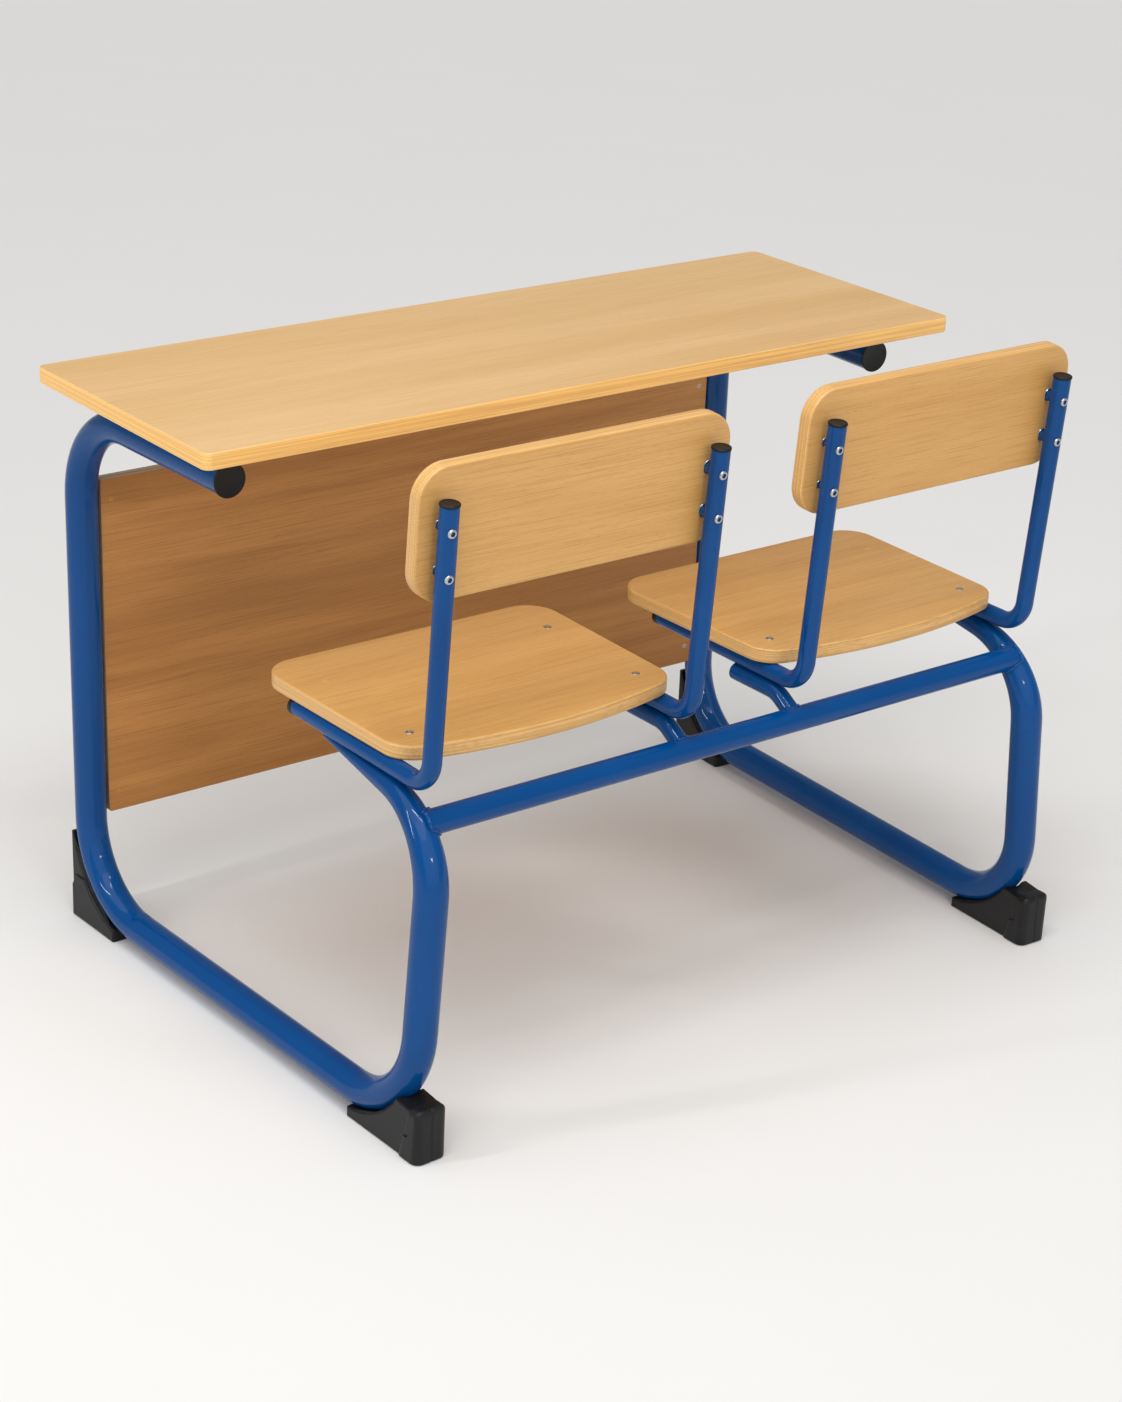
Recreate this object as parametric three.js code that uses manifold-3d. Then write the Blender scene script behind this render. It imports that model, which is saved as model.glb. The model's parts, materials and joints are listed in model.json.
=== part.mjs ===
// Two-seat school desk with attached chairs: a laminated top and a front panel on two bent tube side
// frames, joined by a cross tube that carries two chairs. Millimetres, +Z up, +X along the desk from
// the left pupil to the right one, +Y from the chairs towards the desk. Z = 0 is the floor.

import * as THREE from 'three';
import { mergeVertices } from 'three/addons/utils/BufferGeometryUtils.js';
import Module from 'manifold-3d';

const wasm = await Module();
wasm.setup();

// ---- Driving dimensions ---------------------------------------------------------------------------

const GAP = 0.3;                 // clearance left between pieces that touch
const PASS = 1;                  // how far a cutter runs past the face it cuts

const DESK = { width: 1120, depth: 392, top: 750, thickness: 20, corner: 14, edge: 1.2 };
const PANEL = { bottom: 146, top: 594, thickness: 18, corner: 4, edge: 1, legGap: 2 };

const FRAME = { radius: 20, wall: 1.8, bend: 115, seatBend: 95, sides: 14, boreSides: 8 };
const SPLAY = THREE.MathUtils.degToRad(2.1);   // each side frame toes out towards the desk end
const NEAR_LEG = { x: 478, y: -300, pullIn: 25, armPullIn: 37 }; // leg under the chairs, leaning in
const FRAME_LENGTH = 697;                      // near leg to desk leg, along the frame
const RAIL_Z = 29;                             // floor rail centre line
const DESK_ARM = { z: 690, end: 366 };         // arm under the top; its end, along the frame
const SEAT_ARM_END = 228;                      // where the arm under the chair ends, along the frame
const SEAT_ARM_TAPER = { start: 80, rise: 0.275 }; // its underside rises to close on the seat rail

const CROSS = { y: -272, z: 387, radius: 15, wall: 1.5, sides: 14 };
const BEARER = { size: 20, wall: 1.5, length: 1010, places: [110, 270] };

const POST = { radius: 11, wall: 1.5, bend: 36, sides: 12, boreSides: 8 };
const CHAIR_X = 268;             // middle of a chair's two posts, either side of the desk's middle
const POST_OFFSET = 182;         // each post from the middle of its chair
const SEAT_RAIL = { z: 432.6, frontEnd: -10 };
const POST_FOOT_Y = -281.2;      // where the post's axis would meet the seat rail's axis
const LEAN = THREE.MathUtils.degToRad(4.3);
const POST_LENGTH = 332;         // along the leaning axis, from the seat rail's axis to the top

const SEAT = { x: 262, front: 53, rear: -238, bow: 20, frontHalf: 200, rearHalf: 195, thickness: 18 };
const SEAT_CORNER = 40;
const SEAT_SCREW = { offset: 159, rows: [-26, -198] };
const LUG = { depth: 24, thickness: 3, reach: 12 };

const BACK = { width: 420, height: 155, thickness: 18, corner: 38, edge: 3, bottom: 214 };
const BACK_BOLT_ROWS = [253, 305];             // along the post's axis
const BOSS = { radius: 8, length: 4 };
const WASHER = { radius: 9, hole: 3.4, thickness: 1.2 };
const BOLT = { shank: 3, hole: 3.3, head: 6.2, headHeight: 3, inBack: 12 };

const FOOT = { lip: 3, wedgeWidth: 40, blockWidth: 45, deskWedgeWidth: 37, deskBlockWidth: 41, edge: 2 };
const NEAR_FOOT = { back: -36, front: 101, height: 68, blockTop: -16, blockBottom: 4 };
const DESK_FOOT = { back: 19, front: -80, height: 120, blockHeight: 62 };
const SLOT = { y: -8, z: 32, length: 11, width: 5, depth: 3 };

const CAP = { lip: 1.4, plug: 14 };
const WOOD_SCREW = { shank: 2, hole: 2.3, head: 4.4, headHeight: 2.2, sink: 2.8 };

// ---- Finishes -------------------------------------------------------------------------------------

const finish = (color, roughness, metalness) => ({ color, roughness, metalness });
const BEECH_TOP = finish('#e2bc87', 0.42, 0);
const BEECH_PANEL = finish('#b88450', 0.5, 0);
const BEECH_SEAT = finish('#d9ab68', 0.42, 0);
const BLUE_PAINT = finish('#17509c', 0.22, 0.1);
const BLACK_PLASTIC = finish('#2f2f31', 0.55, 0);
const ZINC = finish('#b9bcc0', 0.3, 0.9);

const desk = new THREE.Group();

/** Adds one named mesh to a group, at a place in that group. */
function addPiece(parent, name, geometry, look, place = [0, 0, 0]) {
  const mesh = new THREE.Mesh(geometry, new THREE.MeshStandardMaterial(look));
  mesh.name = name;
  mesh.position.set(...place);
  parent.add(mesh);
  return mesh;
}

// ---- Solids: joining and cutting ------------------------------------------------------------------

function toSolid(geometry, matrix = null) {
  const bare = geometry.clone();
  if (matrix) bare.applyMatrix4(matrix);
  bare.deleteAttribute('normal');
  bare.deleteAttribute('uv');
  const merged = mergeVertices(bare, 1e-4);
  return new wasm.Manifold(new wasm.Mesh({
    numProp: 3,
    vertProperties: new Float32Array(merged.attributes.position.array),
    triVerts: new Uint32Array(merged.index.array),
  }));
}

function toGeometry(solid) {
  const mesh = solid.getMesh();
  const geometry = new THREE.BufferGeometry();
  geometry.setAttribute('position', new THREE.BufferAttribute(new Float32Array(mesh.vertProperties), 3));
  geometry.setIndex(new THREE.BufferAttribute(new Uint32Array(mesh.triVerts), 1));
  geometry.computeVertexNormals();
  return geometry;
}

const joinAll = (first, others) => others.reduce((solid, other) => solid.add(other), first);
const cutAll = (first, cutters) => cutters.reduce((solid, cutter) => solid.subtract(cutter), first);
const moved = (x, y, z) => new THREE.Matrix4().makeTranslation(x, y, z);

/** A box given by its middle and its full sizes. */
function boxSolid(middle, size, matrix = new THREE.Matrix4()) {
  return toSolid(new THREE.BoxGeometry(...size), matrix.clone().multiply(moved(...middle)));
}

/** A round bar between two points along Y, at one x and z. */
function barAlongY(radius, x, y0, y1, z, sides = 10, matrix = new THREE.Matrix4()) {
  const bar = new THREE.CylinderGeometry(radius, radius, y1 - y0, sides);
  return toSolid(bar, matrix.clone().multiply(moved(x, (y0 + y1) / 2, z)));
}

function barAlongZ(radius, x, y, z0, z1, sides = 10) {
  const bar = new THREE.CylinderGeometry(radius, radius, z1 - z0, sides).rotateX(Math.PI / 2);
  return toSolid(bar, moved(x, y, (z0 + z1) / 2));
}

/** Clearance hole and head recess of a wood screw that enters a board's face at z = 0, pointing down. */
function screwCutters(depth, matrix) {
  const { hole, head, sink } = WOOD_SCREW;
  const shank = new THREE.CylinderGeometry(hole, hole, depth + 2 * PASS, 8).rotateX(Math.PI / 2);
  const recess = new THREE.CylinderGeometry(head + GAP, head + GAP, sink + PASS, 12).rotateX(Math.PI / 2);
  return [
    toSolid(shank, matrix.clone().multiply(moved(0, 0, -depth / 2))),
    toSolid(recess, matrix.clone().multiply(moved(0, 0, (PASS - sink) / 2))),
  ];
}

// ---- Bent tubes -----------------------------------------------------------------------------------

/** A run of straights and bends, sampled only where it turns. */
class BentRun extends THREE.Curve {
  constructor(stations) {
    super();
    this.stations = stations;
  }

  /** Stations of a polyline with its inner corners rounded. */
  static throughCorners(corners, radii, bendSteps) {
    const points = corners.map(([x, y, z]) => new THREE.Vector3(x, y, z));
    const direction = (i) => points[i + 1].clone().sub(points[i]).normalize();
    const stations = [{ point: points[0], tangent: direction(0) }];
    for (let i = 1; i < points.length - 1; i += 1) {
      const before = direction(i - 1);
      const after = direction(i);
      const turn = before.angleTo(after);
      const axis = before.clone().cross(after).normalize();
      const radius = radii[i - 1];
      const start = points[i].clone().addScaledVector(before, -radius * Math.tan(turn / 2));
      const centre = start.clone().addScaledVector(axis.clone().cross(before), radius);
      for (let step = 0; step <= bendSteps; step += 1) {
        const angle = turn * step / bendSteps;
        const arm = start.clone().sub(centre).applyAxisAngle(axis, angle);
        stations.push({ point: centre.clone().add(arm), tangent: before.clone().applyAxisAngle(axis, angle) });
      }
    }
    stations.push({ point: points.at(-1), tangent: direction(points.length - 2) });
    return new BentRun(stations);
  }

  /** The same run with its two ends moved outwards, or inwards where the length is negative. */
  withEndsMoved(atStart, atEnd) {
    const copy = this.stations.map(({ point, tangent }) => ({ point: point.clone(), tangent }));
    copy[0].point.addScaledVector(copy[0].tangent, -atStart);
    copy.at(-1).point.addScaledVector(copy.at(-1).tangent, atEnd);
    return new BentRun(copy);
  }

  get steps() {
    return this.stations.length - 1;
  }

  getPoint(t, target = new THREE.Vector3()) {
    const place = t * this.steps;
    const i = Math.min(Math.floor(place), this.steps - 1);
    return target.lerpVectors(this.stations[i].point, this.stations[i + 1].point, place - i);
  }

  getPointAt(u, target) {
    return this.getPoint(u, target);
  }

  getTangentAt(u, target = new THREE.Vector3()) {
    return target.copy(this.stations[Math.round(u * this.steps)].tangent);
  }
}

/** A solid bar of round section along a run. */
function sweptBar(run, radius, sides, matrix = null) {
  const section = new THREE.Shape().absarc(0, 0, radius, 0, 2 * Math.PI);
  const options = { steps: run.steps, extrudePath: run, curveSegments: sides / 2, bevelEnabled: false };
  return toSolid(new THREE.ExtrudeGeometry(section, options), matrix);
}

// ---- Boards ---------------------------------------------------------------------------------------

function roundedRectangle(width, height, corner) {
  const halfWidth = width / 2 - corner;
  const halfHeight = height / 2 - corner;
  const shape = new THREE.Shape();
  shape.absarc(halfWidth, halfHeight, corner, 0, Math.PI / 2);
  shape.absarc(-halfWidth, halfHeight, corner, Math.PI / 2, Math.PI);
  shape.absarc(-halfWidth, -halfHeight, corner, Math.PI, 1.5 * Math.PI);
  shape.absarc(halfWidth, -halfHeight, corner, 1.5 * Math.PI, 2 * Math.PI);
  return shape;
}

/** A board with eased edges, its lower face at z = 0. */
function board(shape, thickness, edge, curveSegments = 3) {
  const options = {
    depth: thickness - 2 * edge, bevelEnabled: true, bevelThickness: edge, bevelSize: edge,
    bevelOffset: -edge, bevelSegments: 1, curveSegments,
  };
  return new THREE.ExtrudeGeometry(shape, options).translate(0, 0, edge);
}

/** Seat outline: straight front edge, round corners and a rear edge that bows outwards. */
function seatOutline() {
  const { front, rear, bow, frontHalf, rearHalf } = SEAT;
  const corner = SEAT_CORNER;
  const shape = new THREE.Shape();
  shape.absarc(frontHalf - corner, front - corner, corner, 0, Math.PI / 2);
  shape.absarc(corner - frontHalf, front - corner, corner, Math.PI / 2, Math.PI);
  shape.absarc(corner - rearHalf, rear + corner, corner, Math.PI, 1.4 * Math.PI);
  shape.quadraticCurveTo(0, rear - 2 * bow, rearHalf - corner * 0.7, rear + corner * 0.05);
  shape.absarc(rearHalf - corner, rear + corner, corner, 1.6 * Math.PI, 2 * Math.PI);
  return shape;
}

// ---- Small turned pieces --------------------------------------------------------------------------

/** A turned piece about +Z from its radius-and-height profile. */
function turned(profile, sides) {
  return new THREE.LatheGeometry(profile.map(([r, z]) => new THREE.Vector2(r, z)), sides).rotateX(Math.PI / 2);
}

/** Plastic end cap: a low dome with a lip over the tube's end and a plug inside it; it points up. */
function endCap({ radius, wall, boreSides }, flare, dome, sides) {
  const lipRadius = radius + flare;
  const plugRadius = (radius - wall) * Math.cos(Math.PI / boreSides) - GAP;
  return turned([
    [0, -CAP.plug], [plugRadius, -CAP.plug], [plugRadius, GAP], [lipRadius, GAP],
    [lipRadius, CAP.lip + GAP], [lipRadius - 1.2, CAP.lip + dome * 0.7], [0, CAP.lip + dome],
  ], sides);
}

/** A screw or bolt whose head sits on z = 0 and whose shank hangs below it. */
function fastener({ shank, head, headHeight }, length) {
  return turned([
    [0, -length], [shank, -length], [shank, 0], [head, 0], [head * 0.8, headHeight * 0.7], [0, headHeight],
  ], 8);
}

// ---- Shared places --------------------------------------------------------------------------------

const deskUnderside = DESK.top - DESK.thickness;
const seatBottom = SEAT_RAIL.z + POST.radius + GAP;
const seatTop = seatBottom + SEAT.thickness;

/** x of a side frame's middle plane, at a place y. */
const frameX = (y) => NEAR_LEG.x + (y - NEAR_LEG.y) * Math.tan(SPLAY);
const deskLegY = NEAR_LEG.y + FRAME_LENGTH * Math.cos(SPLAY);
const deskLegX = frameX(deskLegY);

// The seat arm lies straight under the outer seat rail.
const seatArmZ = SEAT_RAIL.z - FRAME.radius - POST.radius - GAP;

/** Matrix of a side frame: its own Y runs along it, from the near leg towards the desk leg. */
function frameMatrix(side) {
  const turn = new THREE.Matrix4().makeRotationZ(-side * SPLAY);
  return moved(side * NEAR_LEG.x, NEAR_LEG.y, 0).multiply(turn);
}

/** Centre line of one side's tube, from the arm under the top round to the arm under the chair. */
function frameRun(side) {
  const { pullIn, armPullIn } = NEAR_LEG;
  return BentRun.throughCorners(
    [
      [0, DESK_ARM.end, DESK_ARM.z], [0, FRAME_LENGTH, DESK_ARM.z], [0, FRAME_LENGTH, RAIL_Z],
      [0, 0, RAIL_Z], [-side * pullIn, 0, seatArmZ], [-side * armPullIn, SEAT_ARM_END, seatArmZ],
    ],
    [FRAME.bend, FRAME.bend, FRAME.bend, FRAME.seatBend],
    5,
  );
}

/** The full outside of a side frame, grown a little, for cutting what meets it. */
function frameEnvelope(side, matrix = null) {
  return sweptBar(frameRun(side), FRAME.radius + GAP, FRAME.sides, matrix);
}

// ---- Side frames ----------------------------------------------------------------------------------

const PANEL_SCREW = { inset: 14, rows: [PANEL.bottom + 26, PANEL.top - 26] };
const panelHalfWidth = deskLegX - FRAME.radius - PANEL.legGap;
const panelFaceY = deskLegY - PANEL.thickness / 2;
const panelBackY = deskLegY + PANEL.thickness / 2;
const TAB = { height: 40, thickness: 3, inner: panelHalfWidth - 30 };

/** One bent tube with the two welded tabs that hold the panel. */
function sideFrame(side) {
  const run = frameRun(side);
  const outside = sweptBar(run, FRAME.radius, FRAME.sides);
  const underside = moved(0, SEAT_ARM_TAPER.start, seatArmZ - FRAME.radius);
  underside.multiply(new THREE.Matrix4().makeRotationX(Math.atan(SEAT_ARM_TAPER.rise)));
  const taper = boxSolid([0, 100, -50], [140, 200, 100], underside);
  const innerTaper = boxSolid([0, 100, FRAME.wall - 50], [140, 210, 100], underside);
  const bore = sweptBar(run.withEndsMoved(PASS, 0), FRAME.radius - FRAME.wall, FRAME.boreSides)
    .subtract(innerTaper);

  const toFrame = frameMatrix(side).invert();
  const tabMiddleX = side * (TAB.inner + deskLegX) / 2;
  const tabWidth = deskLegX - TAB.inner;
  const tabY = panelBackY + GAP + TAB.thickness / 2;
  const tabs = PANEL_SCREW.rows.map((z) => (
    boxSolid([tabMiddleX, tabY, z], [tabWidth, TAB.thickness, TAB.height], toFrame)
  ));
  const tabHoles = PANEL_SCREW.rows.map((z) => barAlongY(
    WOOD_SCREW.hole, side * (panelHalfWidth - PANEL_SCREW.inset), panelBackY, panelBackY + 8, z, 8, toFrame,
  ));
  return toGeometry(cutAll(joinAll(outside, tabs), [bore, taper, ...tabHoles]));
}

for (const [side, label] of [[-1, 'left'], [1, 'right']]) {
  const group = new THREE.Group();
  group.position.set(side * NEAR_LEG.x, NEAR_LEG.y, 0);
  group.rotation.z = -side * SPLAY;
  desk.add(group);
  addPiece(group, `side_frame_${label}`, sideFrame(side), BLUE_PAINT);
  const cap = addPiece(
    group, `desk_arm_cap_${label}`, endCap(FRAME, 1.2, 1.6, 14), BLACK_PLASTIC,
    [0, DESK_ARM.end, DESK_ARM.z],
  );
  cap.rotation.x = Math.PI / 2;
  addPiece(group, `foot_chair_end_${label}`, chairEndFoot(side), BLACK_PLASTIC);
  addPiece(group, `foot_desk_end_${label}`, deskEndFoot(side), BLACK_PLASTIC);
}

// ---- Feet -----------------------------------------------------------------------------------------

/** A slab with a side outline in the Y-Z plane, of the given width along X, with eased edges. */
function sideSlab(outline, width) {
  const slab = board(outline, width, FOOT.edge, 4).translate(0, 0, -width / 2);
  const turn = new THREE.Matrix4().makeBasis(
    new THREE.Vector3(0, 1, 0), new THREE.Vector3(0, 0, 1), new THREE.Vector3(1, 0, 0),
  );
  return toSolid(slab, turn);
}

/** Cradle under the bend between the near leg and the rail, with a tall block behind the leg. */
function chairEndFoot(side) {
  const { back, front, height, blockTop, blockBottom } = NEAR_FOOT;
  const centre = [FRAME.bend, RAIL_Z + FRAME.bend];
  const lipRadius = FRAME.bend + FRAME.radius - FOOT.lip;
  const topAngle = Math.PI + Math.asin((centre[1] - height) / lipRadius);
  const frontAngle = 1.5 * Math.PI - Math.asin((centre[0] - front) / lipRadius);
  const wedge = new THREE.Shape();
  wedge.moveTo(back + 1, 0);
  wedge.lineTo(front, 0);
  wedge.absarc(...centre, lipRadius, frontAngle, topAngle, true);
  wedge.lineTo(back + 1, height - 1);
  const block = new THREE.Shape();
  block.moveTo(blockBottom, 0);
  block.lineTo(blockTop, height);
  block.absarc(back + 7, height - 7, 7, Math.PI / 2, Math.PI);
  block.lineTo(back, 0);
  const body = sideSlab(wedge, FOOT.wedgeWidth).add(sideSlab(block, FOOT.blockWidth));
  const slotX = FOOT.blockWidth / 2;
  const slots = [-slotX, slotX].map((x) => (
    boxSolid([x, SLOT.y, SLOT.z], [2 * SLOT.depth, SLOT.length, SLOT.width])
  ));
  return toGeometry(cutAll(body, [frameEnvelope(side), ...slots]));
}

/** Cradle under the bend of the desk leg that climbs up behind it. */
function deskEndFoot(side) {
  const { back, front, height, blockHeight } = DESK_FOOT;
  const leg = FRAME_LENGTH;
  const centre = [leg - FRAME.bend, RAIL_Z + FRAME.bend];
  const lipRadius = FRAME.bend + FRAME.radius - FOOT.lip;
  const startAngle = 1.5 * Math.PI + Math.asin((leg + front - centre[0]) / lipRadius);
  const endAngle = 2 * Math.PI - Math.asin((centre[1] - height) / lipRadius);
  const wedge = new THREE.Shape();
  wedge.moveTo(leg + front, 0);
  wedge.lineTo(leg + back, 0);
  wedge.lineTo(leg + back, height);
  wedge.absarc(...centre, lipRadius, endAngle, startAngle, true);
  const block = new THREE.Shape();
  const midAngle = 2 * Math.PI - Math.asin((centre[1] - blockHeight) / lipRadius);
  block.moveTo(leg + front, 0);
  block.lineTo(leg + back + 1, 0);
  block.lineTo(leg + back + 1, blockHeight);
  block.absarc(...centre, lipRadius, midAngle, startAngle, true);
  const body = sideSlab(wedge, FOOT.deskWedgeWidth).add(sideSlab(block, FOOT.deskBlockWidth));
  return toGeometry(body.subtract(frameEnvelope(side)));
}

// ---- Cross tube and the inner supports ------------------------------------------------------------

const crossLength = 2 * (frameX(CROSS.y) - NEAR_LEG.pullIn);
const crossPlace = moved(0, CROSS.y, CROSS.z);
const alongX = (radius, length) => toSolid(
  new THREE.CylinderGeometry(radius, radius, length, CROSS.sides).rotateZ(Math.PI / 2), crossPlace,
);
const crossTube = cutAll(
  alongX(CROSS.radius, crossLength),
  [
    alongX(CROSS.radius - CROSS.wall, crossLength + 2),
    frameEnvelope(-1, frameMatrix(-1)),
    frameEnvelope(1, frameMatrix(1)),
  ],
);
addPiece(desk, 'cross_tube', toGeometry(crossTube), BLUE_PAINT);

const supportZ = SEAT_RAIL.z - 2 * POST.radius - GAP;
const supportRun = BentRun.throughCorners(
  [[0, CROSS.y + 4, CROSS.z + 4], [0, CROSS.y + 36, supportZ], [0, -160, supportZ]], [40], 5,
);
const innerSupport = cutAll(sweptBar(supportRun, POST.radius, POST.sides), [
  sweptBar(supportRun.withEndsMoved(PASS, PASS), POST.radius - POST.wall, POST.boreSides),
  alongX(CROSS.radius + GAP, crossLength),
]);
for (const [side, label] of [[-1, 'left'], [1, 'right']]) {
  const x = side * (CHAIR_X - POST_OFFSET);
  addPiece(desk, `inner_support_${label}`, toGeometry(innerSupport), BLUE_PAINT, [x, 0, 0]);
}

// ---- Chairs ---------------------------------------------------------------------------------------

/** Matrix of a back: its own Z runs up the leaning post axis, its Y points at the sitter's back. */
const leanMatrix = moved(0, POST_FOOT_Y, SEAT_RAIL.z).multiply(new THREE.Matrix4().makeRotationX(LEAN));
const postTop = new THREE.Vector3(0, 0, POST_LENGTH).applyMatrix4(leanMatrix);
const postRun = BentRun.throughCorners(
  [[0, SEAT_RAIL.frontEnd, SEAT_RAIL.z], [0, POST_FOOT_Y, SEAT_RAIL.z], postTop.toArray()], [POST.bend], 6,
);

/** Bent post tube, with welded bosses for the back and welded lugs for the seat, inward of the rail. */
function seatPost(lugMiddle) {
  const bosses = BACK_BOLT_ROWS.map((z) => (
    barAlongY(BOSS.radius, 0, POST.radius - 3, POST.radius + BOSS.length, z, 10, leanMatrix)
  ));
  const direction = Math.sign(lugMiddle);
  const lugWidth = Math.abs(lugMiddle) + LUG.reach;
  const lugs = SEAT_SCREW.rows.map((y) => boxSolid(
    [direction * lugWidth / 2, y, SEAT_RAIL.z + POST.radius - LUG.thickness / 2],
    [lugWidth, LUG.depth, LUG.thickness],
  ));
  const lugHoles = SEAT_SCREW.rows.map((y) => (
    barAlongZ(WOOD_SCREW.hole, lugMiddle, y, SEAT_RAIL.z, seatBottom + PASS, 8)
  ));
  const boltHoles = BACK_BOLT_ROWS.map((z) => (
    barAlongY(BOLT.hole, 0, -POST.radius - PASS, POST.radius + BOSS.length + PASS, z, 8, leanMatrix)
  ));
  const bore = sweptBar(postRun.withEndsMoved(PASS, PASS), POST.radius - POST.wall, POST.boreSides);
  const outside = joinAll(sweptBar(postRun, POST.radius, POST.sides), [...bosses, ...lugs]);
  return toGeometry(cutAll(outside, [bore, ...boltHoles, ...lugHoles]));
}

const backY = POST.radius + BOSS.length + WASHER.thickness + 2 * GAP;
const backBoard = toSolid(
  board(roundedRectangle(BACK.width, BACK.height, BACK.corner), BACK.thickness, BACK.edge, 4)
    .rotateX(Math.PI / 2)
    .translate(0, backY + BACK.thickness, BACK.bottom + BACK.height / 2),
);
const backHoles = [-1, 1].flatMap((side) => BACK_BOLT_ROWS.map((z) => (
  barAlongY(BOLT.hole, side * POST_OFFSET, backY - PASS, backY + BOLT.inBack + GAP, z, 8)
)));
const backGeometry = toGeometry(cutAll(backBoard, backHoles));

const seatBoard = toSolid(board(seatOutline(), SEAT.thickness, 2, 4));
const seatHoles = [-1, 1].flatMap((side) => SEAT_SCREW.rows.flatMap((y) => (
  screwCutters(SEAT.thickness, moved(side * SEAT_SCREW.offset, y, SEAT.thickness))
)));
const seatGeometry = toGeometry(cutAll(seatBoard, seatHoles));

const screwSeat = WOOD_SCREW.sink - GAP;        // how far a wood screw's head sits below the face
const boltLength = POST.radius * 2 + BOSS.length + WASHER.thickness + 2 * GAP + BOLT.inBack;
const washerGeometry = turned([
  [WASHER.hole, 0], [WASHER.radius, 0], [WASHER.radius, WASHER.thickness], [WASHER.hole, WASHER.thickness],
  [WASHER.hole, 0],
], 12);

for (const [side, chair] of [[-1, 'left'], [1, 'right']]) {
  const middle = side * CHAIR_X;
  const seatMiddle = side * SEAT.x;
  addPiece(desk, `seat_${chair}`, seatGeometry, BEECH_SEAT, [seatMiddle, 0, seatBottom]);

  const back = new THREE.Group();
  back.position.set(middle, POST_FOOT_Y, SEAT_RAIL.z);
  back.rotation.x = LEAN;
  desk.add(back);
  addPiece(back, `backrest_${chair}`, backGeometry, BEECH_SEAT);

  for (const [postSide, hand] of [[-1, 'l'], [1, 'r']]) {
    const key = `${chair}_${hand}`;
    const postX = middle + postSide * POST_OFFSET;
    const screwX = seatMiddle + postSide * SEAT_SCREW.offset;
    addPiece(desk, `seat_post_${key}`, seatPost(screwX - postX), BLUE_PAINT, [postX, 0, 0]);
    addPiece(
      back, `post_cap_${key}`, endCap(POST, 0.6, 2.4, 12), BLACK_PLASTIC,
      [postSide * POST_OFFSET, 0, POST_LENGTH],
    );
    const railCap = addPiece(
      desk, `seat_rail_cap_${key}`, endCap(POST, 0, 1.6, 12), BLACK_PLASTIC,
      [postX, SEAT_RAIL.frontEnd, SEAT_RAIL.z],
    );
    railCap.rotation.x = -Math.PI / 2;
    for (const [row, z] of BACK_BOLT_ROWS.entries()) {
      const place = [postSide * POST_OFFSET, -POST.radius - GAP, z];
      const bolt = addPiece(back, `back_bolt_${key}_${row + 1}`, fastener(BOLT, boltLength), ZINC, place);
      bolt.rotation.x = Math.PI / 2;
      const washerPlace = [postSide * POST_OFFSET, POST.radius + BOSS.length + GAP + WASHER.thickness, z];
      const washer = addPiece(back, `back_washer_${key}_${row + 1}`, washerGeometry, ZINC, washerPlace);
      washer.rotation.x = Math.PI / 2;
    }
    for (const [row, y] of SEAT_SCREW.rows.entries()) {
      addPiece(
        desk, `seat_screw_${key}_${row + 1}`, fastener(WOOD_SCREW, SEAT.thickness), ZINC,
        [screwX, y, seatTop - screwSeat],
      );
    }
  }
}

// ---- Desk top, its bearers and the panel ----------------------------------------------------------

const topGeometry = board(roundedRectangle(DESK.width, DESK.depth, DESK.corner), DESK.thickness, DESK.edge);
addPiece(desk, 'desk_top', topGeometry, BEECH_TOP, [0, DESK.depth / 2, deskUnderside]);

const bearerSection = new THREE.Shape();
const bearerHalf = BEARER.size / 2 - GAP;
bearerSection.moveTo(-bearerHalf, -bearerHalf);
bearerSection.lineTo(bearerHalf, -bearerHalf);
bearerSection.lineTo(bearerHalf, bearerHalf);
bearerSection.lineTo(-bearerHalf, bearerHalf);
const boreHalf = bearerHalf - BEARER.wall;
const bearerBore = new THREE.Path();
bearerBore.moveTo(-boreHalf, -boreHalf);
bearerBore.lineTo(-boreHalf, boreHalf);
bearerBore.lineTo(boreHalf, boreHalf);
bearerBore.lineTo(boreHalf, -boreHalf);
bearerSection.holes.push(bearerBore);
const bearerGeometry = new THREE.ExtrudeGeometry(bearerSection, { depth: BEARER.length, bevelEnabled: false })
  .translate(0, 0, -BEARER.length / 2)
  .rotateY(Math.PI / 2);
for (const [row, y] of BEARER.places.entries()) {
  const z = (deskUnderside + DESK_ARM.z + FRAME.radius) / 2;
  addPiece(desk, `top_bearer_${row + 1}`, bearerGeometry, BLUE_PAINT, [0, y, z]);
}

const panelBoard = toSolid(
  board(
    roundedRectangle(2 * panelHalfWidth, PANEL.top - PANEL.bottom, PANEL.corner),
    PANEL.thickness, PANEL.edge, 1,
  ).rotateX(Math.PI / 2),
  moved(0, panelBackY, (PANEL.top + PANEL.bottom) / 2),
);
const screwPlaces = [-1, 1].flatMap((side) => (
  PANEL_SCREW.rows.map((z) => [side * (panelHalfWidth - PANEL_SCREW.inset), z])
));
const panelHoles = screwPlaces.flatMap(([x, z]) => (
  screwCutters(PANEL.thickness, moved(x, panelFaceY, z).multiply(new THREE.Matrix4().makeRotationX(Math.PI / 2)))
));
addPiece(desk, 'modesty_panel', toGeometry(cutAll(panelBoard, panelHoles)), BEECH_PANEL);
for (const [index, [x, z]] of screwPlaces.entries()) {
  const geometry = fastener(WOOD_SCREW, PANEL.thickness);
  const screw = addPiece(desk, `panel_screw_${index + 1}`, geometry, ZINC, [x, panelFaceY + screwSeat, z]);
  screw.rotation.x = Math.PI / 2;
}

// ---- Origin: middle of the footprint, on the floor ------------------------------------------------

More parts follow.
